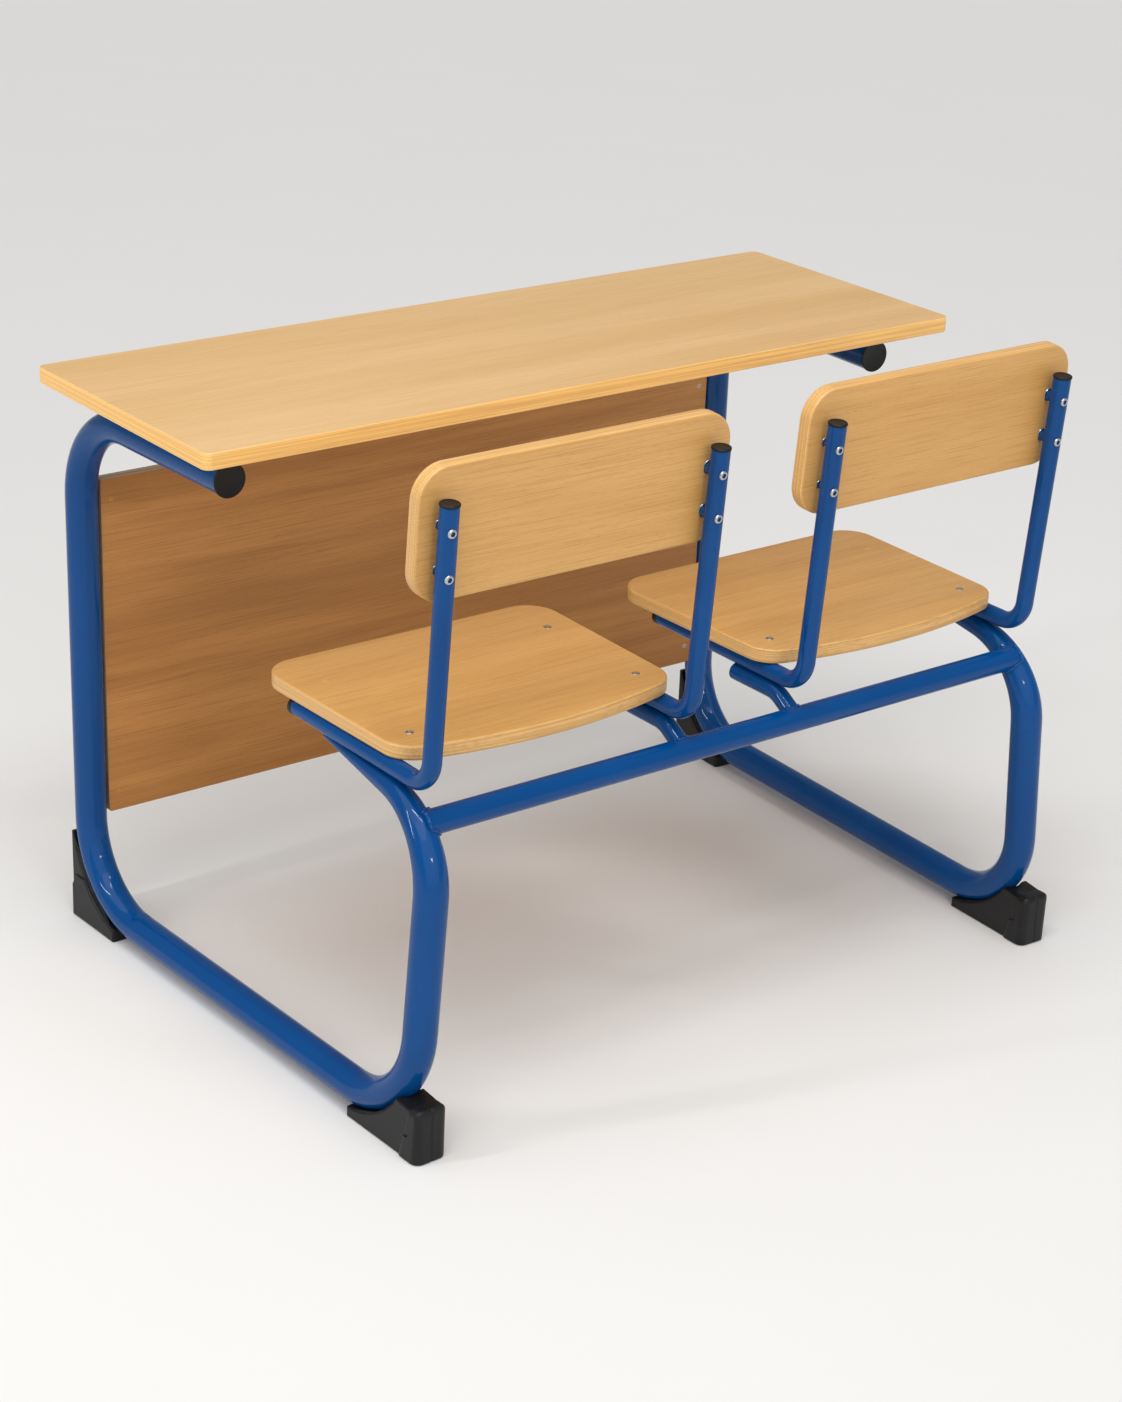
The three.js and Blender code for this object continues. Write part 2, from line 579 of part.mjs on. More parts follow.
desk.updateMatrixWorld(true);
const extent = new THREE.Box3().setFromObject(desk);
desk.position.set(0, -(extent.min.y + extent.max.y) / 2, 0);
desk.updateMatrixWorld(true);

export default desk;
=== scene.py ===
"""Looks of a two-seat school desk with attached chairs: beech laminate boards on bent, painted steel tube.

Lengths in the classes are millimetres, in the desk's own frame: +X along the desk from the left pupil to the
right one, +Y from the chairs towards the desk with Y = 0 at the pupils' edge of the top, and Z = 0 on the floor.
Shell.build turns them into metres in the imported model's frame.
"""

import json
import logging
import math
from collections.abc import Callable
from dataclasses import dataclass, field
from enum import Enum
from functools import partial

import bmesh
import bpy
import numpy as np
from mathutils import Matrix, Vector

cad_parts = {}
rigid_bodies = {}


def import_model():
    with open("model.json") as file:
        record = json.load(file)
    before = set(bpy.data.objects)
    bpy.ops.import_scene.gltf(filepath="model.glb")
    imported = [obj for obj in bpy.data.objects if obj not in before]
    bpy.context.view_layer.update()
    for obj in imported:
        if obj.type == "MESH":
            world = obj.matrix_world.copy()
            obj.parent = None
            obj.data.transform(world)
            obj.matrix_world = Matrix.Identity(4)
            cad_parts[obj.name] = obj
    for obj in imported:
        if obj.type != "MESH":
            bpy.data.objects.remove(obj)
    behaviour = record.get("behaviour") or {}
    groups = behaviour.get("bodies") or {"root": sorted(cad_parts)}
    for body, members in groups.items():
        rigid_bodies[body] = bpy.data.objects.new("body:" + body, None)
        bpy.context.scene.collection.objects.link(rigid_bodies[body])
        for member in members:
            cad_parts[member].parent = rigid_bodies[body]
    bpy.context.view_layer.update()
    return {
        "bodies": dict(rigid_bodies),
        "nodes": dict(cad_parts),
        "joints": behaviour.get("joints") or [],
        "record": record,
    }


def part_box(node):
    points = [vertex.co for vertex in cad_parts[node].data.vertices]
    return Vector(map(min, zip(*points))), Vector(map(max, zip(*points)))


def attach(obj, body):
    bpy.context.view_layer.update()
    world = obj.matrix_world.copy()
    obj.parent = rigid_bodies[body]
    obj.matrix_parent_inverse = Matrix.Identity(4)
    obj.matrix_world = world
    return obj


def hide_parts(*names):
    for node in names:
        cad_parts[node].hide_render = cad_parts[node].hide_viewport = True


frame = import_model()

log = logging.getLogger("school_desk")

MM = 0.001
BODY = "root"
EDGE_Y = float(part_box("desk_top")[0].y) / MM  # the pupils' edge of the top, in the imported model's frame
SIDES = {-1: "left", 1: "right"}
HANDS = {-1: "l", 1: "r"}
Socket = bpy.types.NodeSocket


class Slot(Enum):
    """The record's material slots."""

    TOP = "beech_top"
    PANEL = "beech_panel"
    SEAT = "beech_seat"
    BLUE = "blue_paint"
    BLACK = "black_plastic"
    ZINC = "zinc"


# ---- Vectors and places ---------------------------------------------------------------------------------


def unit(vectors: np.ndarray) -> np.ndarray:
    """Vectors along the last axis, scaled to length one."""
    return vectors / np.linalg.norm(vectors, axis=-1, keepdims=True)


def moved(x: float, y: float, z: float) -> np.ndarray:
    """The 4 x 4 matrix of a shift."""
    return np.array(Matrix.Translation((x, y, z)))


def turned_about(axis: str, angle: float) -> np.ndarray:
    """The 4 x 4 matrix of a turn about a named axis, in radians."""
    return np.array(Matrix.Rotation(angle, 4, axis))


def placed(matrix: np.ndarray, points: np.ndarray) -> np.ndarray:
    """Points (..., 3) carried by a 4 x 4 matrix."""
    return points @ matrix[:3, :3].T + matrix[:3, 3]


def smooth_step(low: float, high: float, values: np.ndarray) -> np.ndarray:
    """0 below low, 1 above high and 3t^2 - 2t^3 between them."""
    t = np.clip((values - low) / (high - low), 0.0, 1.0)
    return t * t * (3.0 - 2.0 * t)


# ---- Meshes ---------------------------------------------------------------------------------------------


class Shell:
    """Closed surfaces in millimetres, gathered into one mesh with named values at their points."""

    def __init__(self) -> None:
        """Starts an empty shell."""
        self._points: list[np.ndarray] = []
        self._quads: list[np.ndarray] = []
        self._triangles: list[np.ndarray] = []
        self._values: list[dict[str, np.ndarray]] = []
        self._count = 0

    def add_grid(
        self, points: np.ndarray, wrap_rows: bool = False, close_ends: bool = True, **values: np.ndarray
    ) -> "Shell":
        """Adds a grid of rings: row i joins row i + 1, and each row is a closed loop.

        Args:
            points: (rows, columns, 3) places.
            wrap_rows: whether the last row joins the first one.
            close_ends: whether the first and last rows get a fan to their middle.
            values: named values, (rows, columns) or (rows, columns, 3).

        Returns:
            This shell.
        """
        rows, columns = points.shape[:2]
        row, column = np.meshgrid(np.arange(rows if wrap_rows else rows - 1), np.arange(columns), indexing="ij")
        next_row, next_column = (row + 1) % rows, (column + 1) % columns
        quads = np.stack(
            [
                row * columns + column,
                row * columns + next_column,
                next_row * columns + next_column,
                next_row * columns + column,
            ],
            axis=-1,
        ).reshape(-1, 4)
        flat = points.reshape(-1, 3)
        flat_values = {name: value.reshape(rows * columns, -1) for name, value in values.items()}
        triangles = np.zeros((0, 3), int)
        if close_ends and not wrap_rows:
            ring = np.arange(columns)
            after = np.roll(ring, -1)
            last = (rows - 1) * columns
            hubs = np.stack([points[0].mean(0), points[-1].mean(0)])
            start, end = rows * columns, rows * columns + 1
            first_fan = np.stack([np.full(columns, start), after, ring], axis=-1)
            last_fan = np.stack([np.full(columns, end), last + ring, last + after], axis=-1)
            triangles = np.concatenate([first_fan, last_fan])
            flat = np.concatenate([flat, hubs])
            flat_values = {
                name: np.concatenate([value, [value[:columns].mean(0), value[last:].mean(0)]])
                for name, value in flat_values.items()
            }
        self._points.append(flat)
        self._quads.append(quads + self._count)
        self._triangles.append(triangles + self._count)
        self._values.append(flat_values)
        self._count += len(flat)
        return self

    def build(self, name: str, slot: Slot, material: bpy.types.Material, *nodes: str) -> bpy.types.Object:
        """Makes the object, in metres, smooth apart from its sharp creases, and puts it in place of CAD nodes.

        Args:
            name: the piece's name.
            slot: the record's material slot that the piece stands for; not used.
            material: its finish.
            nodes: the CAD nodes that it stands for.

        Returns:
            The object, riding on the desk's body.
        """
        points = (np.concatenate(self._points) + [0.0, EDGE_Y, 0.0]) * MM
        faces = np.concatenate(self._quads).tolist() + np.concatenate(self._triangles).tolist()
        mesh = bpy.data.meshes.new(name)
        mesh.from_pydata(points, [], faces)
        for key in sorted(set().union(*self._values)):
            width = max(chunk[key].shape[1] for chunk in self._values if key in chunk)
            chunks = [
                chunk.get(key, np.zeros((len(part), width)))
                for chunk, part in zip(self._values, self._points)
            ]
            kind, entry = ("FLOAT", "value") if width == 1 else ("FLOAT_VECTOR", "vector")
            attribute = mesh.attributes.new(key, kind, "POINT")
            attribute.data.foreach_set(entry, np.concatenate(chunks).astype(np.float32).ravel())
        tidy = bmesh.new()
        tidy.from_mesh(mesh)
        bmesh.ops.recalc_face_normals(tidy, faces=tidy.faces)
        tidy.to_mesh(mesh)
        tidy.free()
        mesh.polygons.foreach_set("use_smooth", np.ones(len(mesh.polygons), bool))
        mesh.set_sharp_from_angle(angle=math.radians(42))
        mesh.materials.append(material)
        piece = bpy.data.objects.new(name, mesh)
        bpy.context.scene.collection.objects.link(piece)
        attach(piece, BODY)
        if nodes:
            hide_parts(*nodes)
        log.info("%s: %d faces", name, len(mesh.polygons))
        return piece


@dataclass(frozen=True)
class Run:
    """A line of stations through space, with the direction of travel at each."""

    points: np.ndarray
    heads: np.ndarray

    @classmethod
    def bent(
        cls, corners: list, radii: list = (), spacing: float = 30.0, turn_steps: int = 22
    ) -> "Run":
        """A polyline whose inner corners are rounded.

        Each bend is first + R (before sin a + inward (1 - cos a)), with a from 0 to the corner's turn.

        Args:
            corners: the points where the straights would meet, and the two ends.
            radii: one bend radius for each inner corner.
            spacing: the longest step on a straight.
            turn_steps: steps in each bend.

        Returns:
            The run.
        """
        corners = np.asarray(corners, float)
        along = unit(np.diff(corners, axis=0))
        points, heads = [], []
        start = corners[0]
        for corner, radius, before, after in zip(corners[1:-1], radii, along[:-1], along[1:]):
            turn = math.acos(float(np.clip(before @ after, -1.0, 1.0)))
            first = corner - before * radius * math.tan(turn / 2)
            inward = unit(after - before * (before @ after))
            count = 1 + max(1, int(np.linalg.norm(first - start) / spacing))
            straight = start + (first - start) * np.linspace(0, 1, count, endpoint=False)[:, None]
            angle = np.linspace(0, turn, turn_steps + 1)[:, None]
            arc = first + radius * (before * np.sin(angle) + inward * (1 - np.cos(angle)))
            points += [straight, arc]
            heads += [np.tile(before, (count, 1)), before * np.cos(angle) + inward * np.sin(angle)]
            start = arc[-1]
        count = 1 + max(1, int(np.linalg.norm(corners[-1] - start) / spacing))
        steps = np.linspace(0, 1, count + 1)[1 if points else 0 :, None]
        points.append(start + (corners[-1] - start) * steps)
        heads.append(np.tile(along[-1], (len(steps), 1)))
        return cls(np.concatenate(points), np.concatenate(heads))

    def sweep(self, section: np.ndarray, reference: np.ndarray, scale: np.ndarray | float = 1.0) -> np.ndarray:
        """Carries a flat section along the run: point + side * x + other * y.

        side is the reference direction made square to the run, and other is square to both.

        Args:
            section: (columns, 2) closed outline.
            reference: (3,) or (stations, 3) direction that the section's first axis follows.
            scale: the section's size at each station.

        Returns:
            (stations, columns, 3) points.
        """
        reference = np.broadcast_to(np.asarray(reference, float), self.heads.shape)
        across = reference - self.heads * (reference * self.heads).sum(-1, keepdims=True)
        side = unit(across)[:, None]
        other = np.cross(self.heads, side[:, 0])[:, None]
        size = np.broadcast_to(scale, (len(self.points),))[:, None, None]
        return self.points[:, None] + size * (side * section[:, :1] + other * section[:, 1:])


def round_section(radius: float, sides: int = 48) -> np.ndarray:
    """A circle as a closed loop of points (sides, 2)."""
    angle = np.linspace(0, 2 * np.pi, sides, endpoint=False)
    return radius * np.stack([np.cos(angle), np.sin(angle)], axis=-1)


def arc(middle: tuple[float, float], radius: float, start: float, end: float, steps: int = 10) -> np.ndarray:
    """Points of an arc.

    Args:
        middle: its centre.
        radius: its radius.
        start: where it starts, in quarter turns from the first axis.
        end: where it ends, in quarter turns.
        steps: chords in it.

    Returns:
        (steps + 1, 2) points.
    """
    angle = np.linspace(start, end, steps + 1) * np.pi / 2
    return np.array(middle) + radius * np.stack([np.cos(angle), np.sin(angle)], axis=-1)


def rounded_rectangle(width: float, height: float, corner: float, steps: int = 10) -> np.ndarray:
    """A rectangle with round corners about the origin, counter-clockwise."""
    x, y = width / 2 - corner, height / 2 - corner
    middles = [(x, y), (-x, y), (-x, -y), (x, -y)]
    return np.concatenate([arc(middle, corner, i, i + 1, steps) for i, middle in enumerate(middles)])


def resampled(outline: np.ndarray, step: float) -> np.ndarray:
    """A closed loop with points an even distance apart along it, about the given step."""
    closed = np.concatenate([outline, outline[:1]])
    travelled = np.concatenate([[0], np.cumsum(np.linalg.norm(np.diff(closed, axis=0), axis=1))])
    stops = np.linspace(0, travelled[-1], int(travelled[-1] / step), endpoint=False)
    return np.stack([np.interp(stops, travelled, closed[:, 0]), np.interp(stops, travelled, closed[:, 1])], axis=-1)


def outward(outline: np.ndarray) -> np.ndarray:
    """The outward direction at each point of a counter-clockwise loop, halfway between its two sides."""
    ahead = unit(np.roll(outline, -1, axis=0) - outline)
    mean = unit(ahead + np.roll(ahead, 1, axis=0))
    return np.stack([mean[:, 1], -mean[:, 0]], axis=-1)


@dataclass(frozen=True)
class Slab:
    """A flat piece with an outline in X-Y, its lower face at z = 0 and rounded edges."""

    outline: np.ndarray
    thickness: float
    edge: float
    edge_steps: int = 6
    side_steps: int = 1

    def surface(self) -> tuple[np.ndarray, np.ndarray]:
        """The slab's rings from the middle of its lower face round its side to the middle of its upper face.

        The edge is a quarter circle: it is inset by e (1 - sin a) at a height of e (1 - cos a).

        Returns:
            (rings, columns, 3) points, and how far each faces sideways, from 0 on the faces to 1 on the side.
        """
        angle = np.linspace(0, np.pi / 2, self.edge_steps + 1)
        inset = self.edge * (1 - np.sin(angle))
        height = self.edge * (1 - np.cos(angle))
        side = np.linspace(self.edge, self.thickness - self.edge, self.side_steps + 1)[1:-1]
        flat = np.array([0.05, 0.35, 0.7])
        ones = np.ones(len(angle))
        none, full, inner = np.zeros(4), np.full(4, self.thickness), np.full(4, self.edge + 0.6)
        insets = np.concatenate([inner, inset, 0 * side, inset[::-1], inner])
        heights = np.concatenate([none, height, side, self.thickness - height[::-1], full])
        shrinks = np.concatenate([flat, [1], ones, np.ones(len(side)), ones, [1], flat[::-1]])
        sideways = np.concatenate([none, np.sin(angle), np.ones(len(side)), np.sin(angle)[::-1], none])
        middle = (self.outline.max(0) + self.outline.min(0)) / 2
        plan = self.outline - outward(self.outline) * insets[:, None, None]
        plan = middle + (plan - middle) * shrinks[:, None, None]
        tall = np.broadcast_to(heights[:, None, None], plan.shape[:2] + (1,))
        return np.concatenate([plan, tall], axis=-1), np.broadcast_to(sideways[:, None], plan.shape[:2])


def lathe(profile: list[tuple[float, float]], sides: int = 40) -> np.ndarray:
    """A turned surface about Z: (r cos a, r sin a, z) for each (r, z) of the profile.

    Args:
        profile: radius and height of each ring.
        sides: points round the axis.

    Returns:
        (rings, sides, 3) points.
    """
    table = np.array(profile, float)
    angle = np.linspace(0, 2 * np.pi, sides, endpoint=False)
    x = table[:, :1] * np.cos(angle)
    y = table[:, :1] * np.sin(angle)
    return np.stack([x, y, np.broadcast_to(table[:, 1:], x.shape)], axis=-1)


def weld_line(
    start: np.ndarray, head: np.ndarray, radius: float, gap_to: Callable[[np.ndarray], np.ndarray],
    reach: np.ndarray, steps: int = 144,
) -> Run:
    """The closed line where a round tube meets another surface.

    On each line along the tube's skin, start + s head + radius (e1 cos a + e2 sin a), the s in reach whose point
    is nearest the other surface is kept.

    Args:
        start: a point on the tube's axis.
        head: the direction of the axis.
        radius: the tube's outer radius.
        gap_to: gives the distance from the other surface for points (..., 3).
        reach: the distances s to try.
        steps: points round the tube.

    Returns:
        The closed run.
    """
    head = unit(head)
    first = unit(np.cross(head, [0.31, 0.42, 0.85]))
    second = np.cross(head, first)
    angle = np.linspace(0, 2 * np.pi, steps, endpoint=False)[:, None, None]
    skin = start + radius * (first * np.cos(angle) + second * np.sin(angle)) + head * reach[None, :, None]
    best = np.abs(gap_to(skin)).argmin(axis=1)
    line = skin[np.arange(steps), best]
    smooth = (np.roll(line, 1, 0) + 2 * line + np.roll(line, -1, 0)) / 4
    return Run(smooth, unit(np.roll(smooth, -1, 0) - np.roll(smooth, 1, 0)))


def weld_bead(line: Run, size: float, reference: np.ndarray) -> np.ndarray:
    """A bead along a closed line, its size rippled by the welder's even steps.

    Args:
        line: the closed line.
        size: the bead's radius, which varies by 13 per cent either way.
        reference: a direction never along the line.

    Returns:
        (stations, 10, 3) points.
    """
    ripple = 1 + 0.13 * np.sin(np.linspace(0, 2 * np.pi * 18, len(line.points), endpoint=False))
    return line.sweep(round_section(size, 10), reference, ripple)


# ---- Finishes -------------------------------------------------------------------------------------------


def linear(code: str) -> tuple[float, float, float, float]:
    """An sRGB hex colour as linear red, green, blue and alpha."""
    parts = [int(code[i : i + 2], 16) / 255 for i in (1, 3, 5)]
    red, green, blue = (p / 12.92 if p <= 0.04045 else ((p + 0.055) / 1.055) ** 2.4 for p in parts)
    return red, green, blue, 1.0


def add_node(tree: bpy.types.NodeTree, kind: str, inputs: dict | None = None, **settings: object) -> bpy.types.Node:
    """Adds a node.

    Args:
        tree: the material's or world's node tree.
        kind: the node's type.
        inputs: a value for each named or numbered socket, or the output socket that feeds it.
        settings: the node's own properties.

    Returns:
        The node.
    """
    node = tree.nodes.new(kind)
    for name, value in settings.items():
        setattr(node, name, value)
    for key, value in (inputs or {}).items():
        if isinstance(value, bpy.types.NodeSocket):
            tree.links.new(value, node.inputs[key])
        else:
            node.inputs[key].default_value = value
    return node


def empty_material(name: str) -> tuple[bpy.types.Material, bpy.types.NodeTree]:
    """A new material with an empty node tree."""
    material = bpy.data.materials.new(name)
    material.use_nodes = True
    material.node_tree.nodes.clear()
    return material, material.node_tree


def close_material(tree: bpy.types.NodeTree, inputs: dict) -> None:
    """Feeds a shader with the given inputs to the material's output."""
    shader = add_node(tree, "ShaderNodeBsdfPrincipled", inputs)
    add_node(tree, "ShaderNodeOutputMaterial", {"Surface": shader.outputs["BSDF"]})


def noise(tree: bpy.types.NodeTree, place: Socket, scale: float, detail: float) -> Socket:
    """Fractal noise at a place, its blobs about 1 / scale across."""
    return add_node(tree, "ShaderNodeTexNoise", {"Vector": place, "Scale": scale, "Detail": detail}).outputs["Fac"]


def blended(tree: bpy.types.NodeTree, amount: Socket, first: Socket | tuple, second: Socket | tuple) -> Socket:
    """The first colour turning into the second as the amount goes from 0 to 1."""
    return add_node(tree, "ShaderNodeMix", {0: amount, 6: first, 7: second}, data_type="RGBA").outputs[2]


def spread(tree: bpy.types.NodeTree, value: Socket, low: float, high: float) -> Socket:
    """A value from 0 to 1 carried to between low and high."""
    return add_node(tree, "ShaderNodeMapRange", {"Value": value, "To Min": low, "To Max": high}).outputs["Result"]


def relief(tree: bpy.types.NodeTree, height: Socket, strength: float, distance: float) -> Socket:
    """The normal of a surface that a height, as a share of a distance in metres, makes uneven."""
    settings = {"Height": height, "Strength": strength, "Distance": distance}
    return add_node(tree, "ShaderNodeBump", settings).outputs["Normal"]


@dataclass(frozen=True)
class LacqueredBeech:
    """Rotary-cut beech veneer on pressed board under clear lacquer.

    The lacquer gives a soft sheen. Beech shows a pale tan ground, broad faint bands along the grain, fine pores
    drawn out along it and short darker ray flecks, and its cut edges show the glued layers.
    """

    name: str
    light: str
    dark: str
    fleck: str
    layer_light: str
    layer_dark: str
    band_width: float = 70.0
    layer_pitch: float = 2.2
    streaks: float = 0.35
    flecks: float = 0.3
    roughness: float = 0.42
    coat: float = 0.18

    def build(self) -> bpy.types.Material:
        """Makes the material; every pattern reads the "grain" attribute: millimetres along, across and through."""
        material, tree = empty_material(self.name)
        grain = add_node(tree, "ShaderNodeAttribute", attribute_name="grain").outputs["Vector"]
        edge = add_node(tree, "ShaderNodeAttribute", attribute_name="edge").outputs["Fac"]
        blend = partial(blended, tree)

        def stretched(along: float, across: float, through: float, detail: float, warp: float = 0.0) -> Socket:
            """Noise whose blobs are that many millimetres long, wide and thick."""
            scale = (1 / along, 1 / across, 1 / through)
            place = add_node(tree, "ShaderNodeMapping", {"Vector": grain, "Scale": scale}).outputs["Vector"]
            settings = {"Vector": place, "Scale": 1.0, "Detail": detail, "Roughness": 0.55, "Distortion": warp}
            return add_node(tree, "ShaderNodeTexNoise", settings).outputs["Fac"]

        def between(value: Socket, low: float, high: float) -> Socket:
            """0 where the value is below low, 1 above high."""
            settings = {"Value": value, "From Min": low, "From Max": high}
            return add_node(tree, "ShaderNodeMapRange", settings, interpolation_type="SMOOTHSTEP").outputs["Result"]

        def scaled(value: Socket, factor: float) -> Socket:
            """The value times a constant."""
            return add_node(tree, "ShaderNodeMath", {0: value, 1: factor}, operation="MULTIPLY").outputs[0]

        # Growth bands: as broad as the veneer's slow swings across the log, and several times as long.
        bands = between(stretched(16 * self.band_width, self.band_width, 400, 2, 0.6), 0.3, 0.7)
        # Pores are 0.05 mm wide in life; drawn 1.3 mm wide so that they show as faint streaks.
        pores = stretched(95, 1.3, 3, 3)
        wide_pores = between(stretched(260, 5.5, 9, 2), 0.35, 0.7)
        # Ray flecks: 2 to 4 mm long and under 1 mm wide in life; drawn longer so that they show.
        rays = between(stretched(11.0, 1.0, 1.5, 1), 0.58, 0.75)
        ground = blend(bands, linear(self.light), linear(self.dark))
        ground = blend(scaled(wide_pores, 0.35 * self.streaks), ground, linear(self.dark))
        ground = blend(scaled(between(pores, 0.45, 0.75), self.streaks), ground, linear(self.fleck))
        ground = blend(scaled(rays, self.flecks), ground, linear(self.fleck))
        # Glued layers, each as thick as one veneer, run level along the cut edge.
        layers = between(stretched(500, 500, self.layer_pitch, 0), 0.38, 0.62)
        cut = blend(layers, linear(self.layer_light), linear(self.layer_dark))
        cut = blend(scaled(between(pores, 0.4, 0.75), 0.3), cut, linear(self.fleck))
        close_material(tree, {
            "Base Color": blend(between(edge, 0.55, 0.85), ground, cut),
            "Roughness": spread(tree, pores, self.roughness - 0.06, self.roughness + 0.08),
            "Normal": relief(tree, pores, 0.12, 0.0002), "IOR": 1.5,
            "Coat Weight": self.coat, "Coat Roughness": 0.22,
        })
        return material


@dataclass(frozen=True)
class PaintedSteel:
    """Epoxy powder paint baked on mild steel tube: a deep gloss with a faint orange-peel ripple."""

    name: str = "powder_painted_steel_blue"
    colour: str = "#003c76"
    faded: str = "#004a8a"
    roughness: float = 0.24
    peel: float = 2.6
    coat: float = 0.4

    def build(self) -> bpy.types.Material:
        """Makes the material; the ripple is 2.6 mm from crest to crest, and the paint's tone drifts slowly."""
        material, tree = empty_material(self.name)
        place = add_node(tree, "ShaderNodeTexCoord").outputs["Object"]
        drift = noise(tree, place, 7.0, 3.0)
        ripple = noise(tree, place, 1 / (self.peel * MM), 1.0)
        close_material(tree, {
            "Base Color": blended(tree, drift, linear(self.colour), linear(self.faded)),
            "Roughness": spread(tree, drift, self.roughness - 0.04, self.roughness + 0.07),
            "Normal": relief(tree, ripple, 0.04, 0.0003), "IOR": 1.5,
            "Specular IOR Level": 0.05, "Coat Weight": self.coat, "Coat Roughness": 0.04,
        })
        return material


@dataclass(frozen=True)
class MouldedPlastic:
    """Injection-moulded polypropylene with a spark-eroded grain: dark grey, soft broad highlights."""

    name: str = "moulded_polypropylene_black"
    colour: str = "#0d0d0e"
    rubbed: str = "#171718"
    # painted shade: near-black blended into the foot's pressed holes, where shade falls
    hollow: str = "#050505"
    roughness: float = 0.42

    def build(self) -> bpy.types.Material:
        """Makes the material; the mould's grain is 0.3 mm in life and drawn at 0.9 mm so that it shows."""
        material, tree = empty_material(self.name)
        place = add_node(tree, "ShaderNodeTexCoord").outputs["Object"]
        # the recess attribute is a mask of painted shade in the pressed holes
        hole = add_node(tree, "ShaderNodeAttribute", attribute_name="recess").outputs["Fac"]
        grit = noise(tree, place, 1 / (0.9 * MM), 2.0)
        scuff = noise(tree, place, 60.0, 4.0)
        worn = add_node(tree, "ShaderNodeMapRange", {"Value": scuff, "From Min": 0.4, "From Max": 0.75})
        colour = blended(tree, worn.outputs["Result"], linear(self.colour), linear(self.rubbed))
        close_material(tree, {
            "Base Color": blended(tree, hole, colour, linear(self.hollow)),
            "Roughness": spread(tree, scuff, self.roughness - 0.06, self.roughness + 0.1),
            "Normal": relief(tree, grit, 0.18, 0.0002), "IOR": 1.49, "Specular IOR Level": 0.33,
        })
        return material


@dataclass(frozen=True)
class ZincPlate:
    """Bright zinc plate on steel fasteners: cool silver with a fine satin, and painted shade down in the sockets."""

    name: str = "bright_zinc_plated_steel"
    bright: str = "#d4d6d9"
    dull: str = "#a9acb0"
    # painted shade: near-black blended into bolt sockets and screw recesses, where shade falls
    hollow: str = "#1c1c1e"
    roughness: float = 0.26

    def build(self) -> bpy.types.Material:
        """Makes the material; the plating's cloudiness is about 2 mm across."""
        material, tree = empty_material(self.name)
        place = add_node(tree, "ShaderNodeTexCoord").outputs["Object"]
        # the recess attribute is a mask of painted shade in sockets and recesses
        hole = add_node(tree, "ShaderNodeAttribute", attribute_name="recess").outputs["Fac"]
        cloud = noise(tree, place, 500.0, 3.0)
        colour = blended(tree, cloud, linear(self.bright), linear(self.dull))
        close_material(tree, {
            "Base Color": blended(tree, hole, colour, linear(self.hollow)),
            "Roughness": spread(tree, cloud, self.roughness - 0.06, self.roughness + 0.12),
            "Normal": relief(tree, cloud, 0.08, 0.0001), "Metallic": 1.0,
        })
        return material


@dataclass(frozen=True)
class StudioFloor:
    """Matt painted board: pale warm grey, no gloss."""

    name: str = "matt_painted_floor"
    colour: str = "#e3e2e0"
    mottled: str = "#e5e4e2"

    def build(self) -> bpy.types.Material:
        """Makes the material, with a barely visible mottle a few decimetres across."""
        material, tree = empty_material(self.name)
        mottle = noise(tree, add_node(tree, "ShaderNodeTexCoord").outputs["Object"], 3.0, 4.0)
        close_material(tree, {
            "Base Color": blended(tree, mottle, linear(self.colour), linear(self.mottled)),
            "Roughness": 0.85, "Specular IOR Level": 0.2,
        })
        return material


@dataclass
class Palette:
    """The desk's finishes, each made once."""

    top: bpy.types.Material = field(init=False)
    panel: bpy.types.Material = field(init=False)
    seat: bpy.types.Material = field(init=False)
    blue: bpy.types.Material = field(init=False)
    black: bpy.types.Material = field(init=False)
    zinc: bpy.types.Material = field(init=False)

    def __post_init__(self) -> None:
        """Makes every finish."""
        self.top = LacqueredBeech(
            "lacquered_beech_laminate_top", "#dfb881", "#d4aa6e", "#b98a50", "#fbc877", "#ecb564",
            band_width=85, layer_pitch=2.0, streaks=0.4, flecks=0.2,
        ).build()
        self.panel = LacqueredBeech(
            "lacquered_beech_plywood_panel", "#c98b44", "#ab702e", "#7f4e1e", "#b39a7c", "#8c765c",
            band_width=60, layer_pitch=3, streaks=0.45, flecks=0.22, roughness=0.5, coat=0.08,
        ).build()
        self.seat = LacqueredBeech(
            "lacquered_beech_plywood_seat", "#d8a560", "#ce9a54", "#9f6a30", "#e4b472", "#d09f5a",
            band_width=48, layer_pitch=1.5, streaks=0.42, flecks=0.26,
        ).build()
        self.blue = PaintedSteel().build()
        self.black = MouldedPlastic().build()
        self.zinc = ZincPlate().build()


# ---- Boards ---------------------------------------------------------------------------------------------


def cad_box(node: str) -> tuple[np.ndarray, np.ndarray]:
    """Lowest and highest corner of a CAD node, in millimetres in the desk's own frame."""
    low, high = (np.array(corner) / MM - [0.0, EDGE_Y, 0.0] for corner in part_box(node))
    return low, high


def add_board(shell: Shell, slab: Slab, matrix: np.ndarray, shift: float) -> None:
    """Adds a board whose grain runs along its own X.

    Args:
        shell: where it goes.
        slab: its shape.
        matrix: its place.
        shift: millimetres by which the veneer is slid, so that no two boards look alike.
    """
    points, sideways = slab.surface()
    shell.add_grid(placed(matrix, points), grain=points + [shift, 0.37 * shift, 0.11 * shift], edge=sideways)


# ---- Side frames ----------------------------------------------------------------------------------------


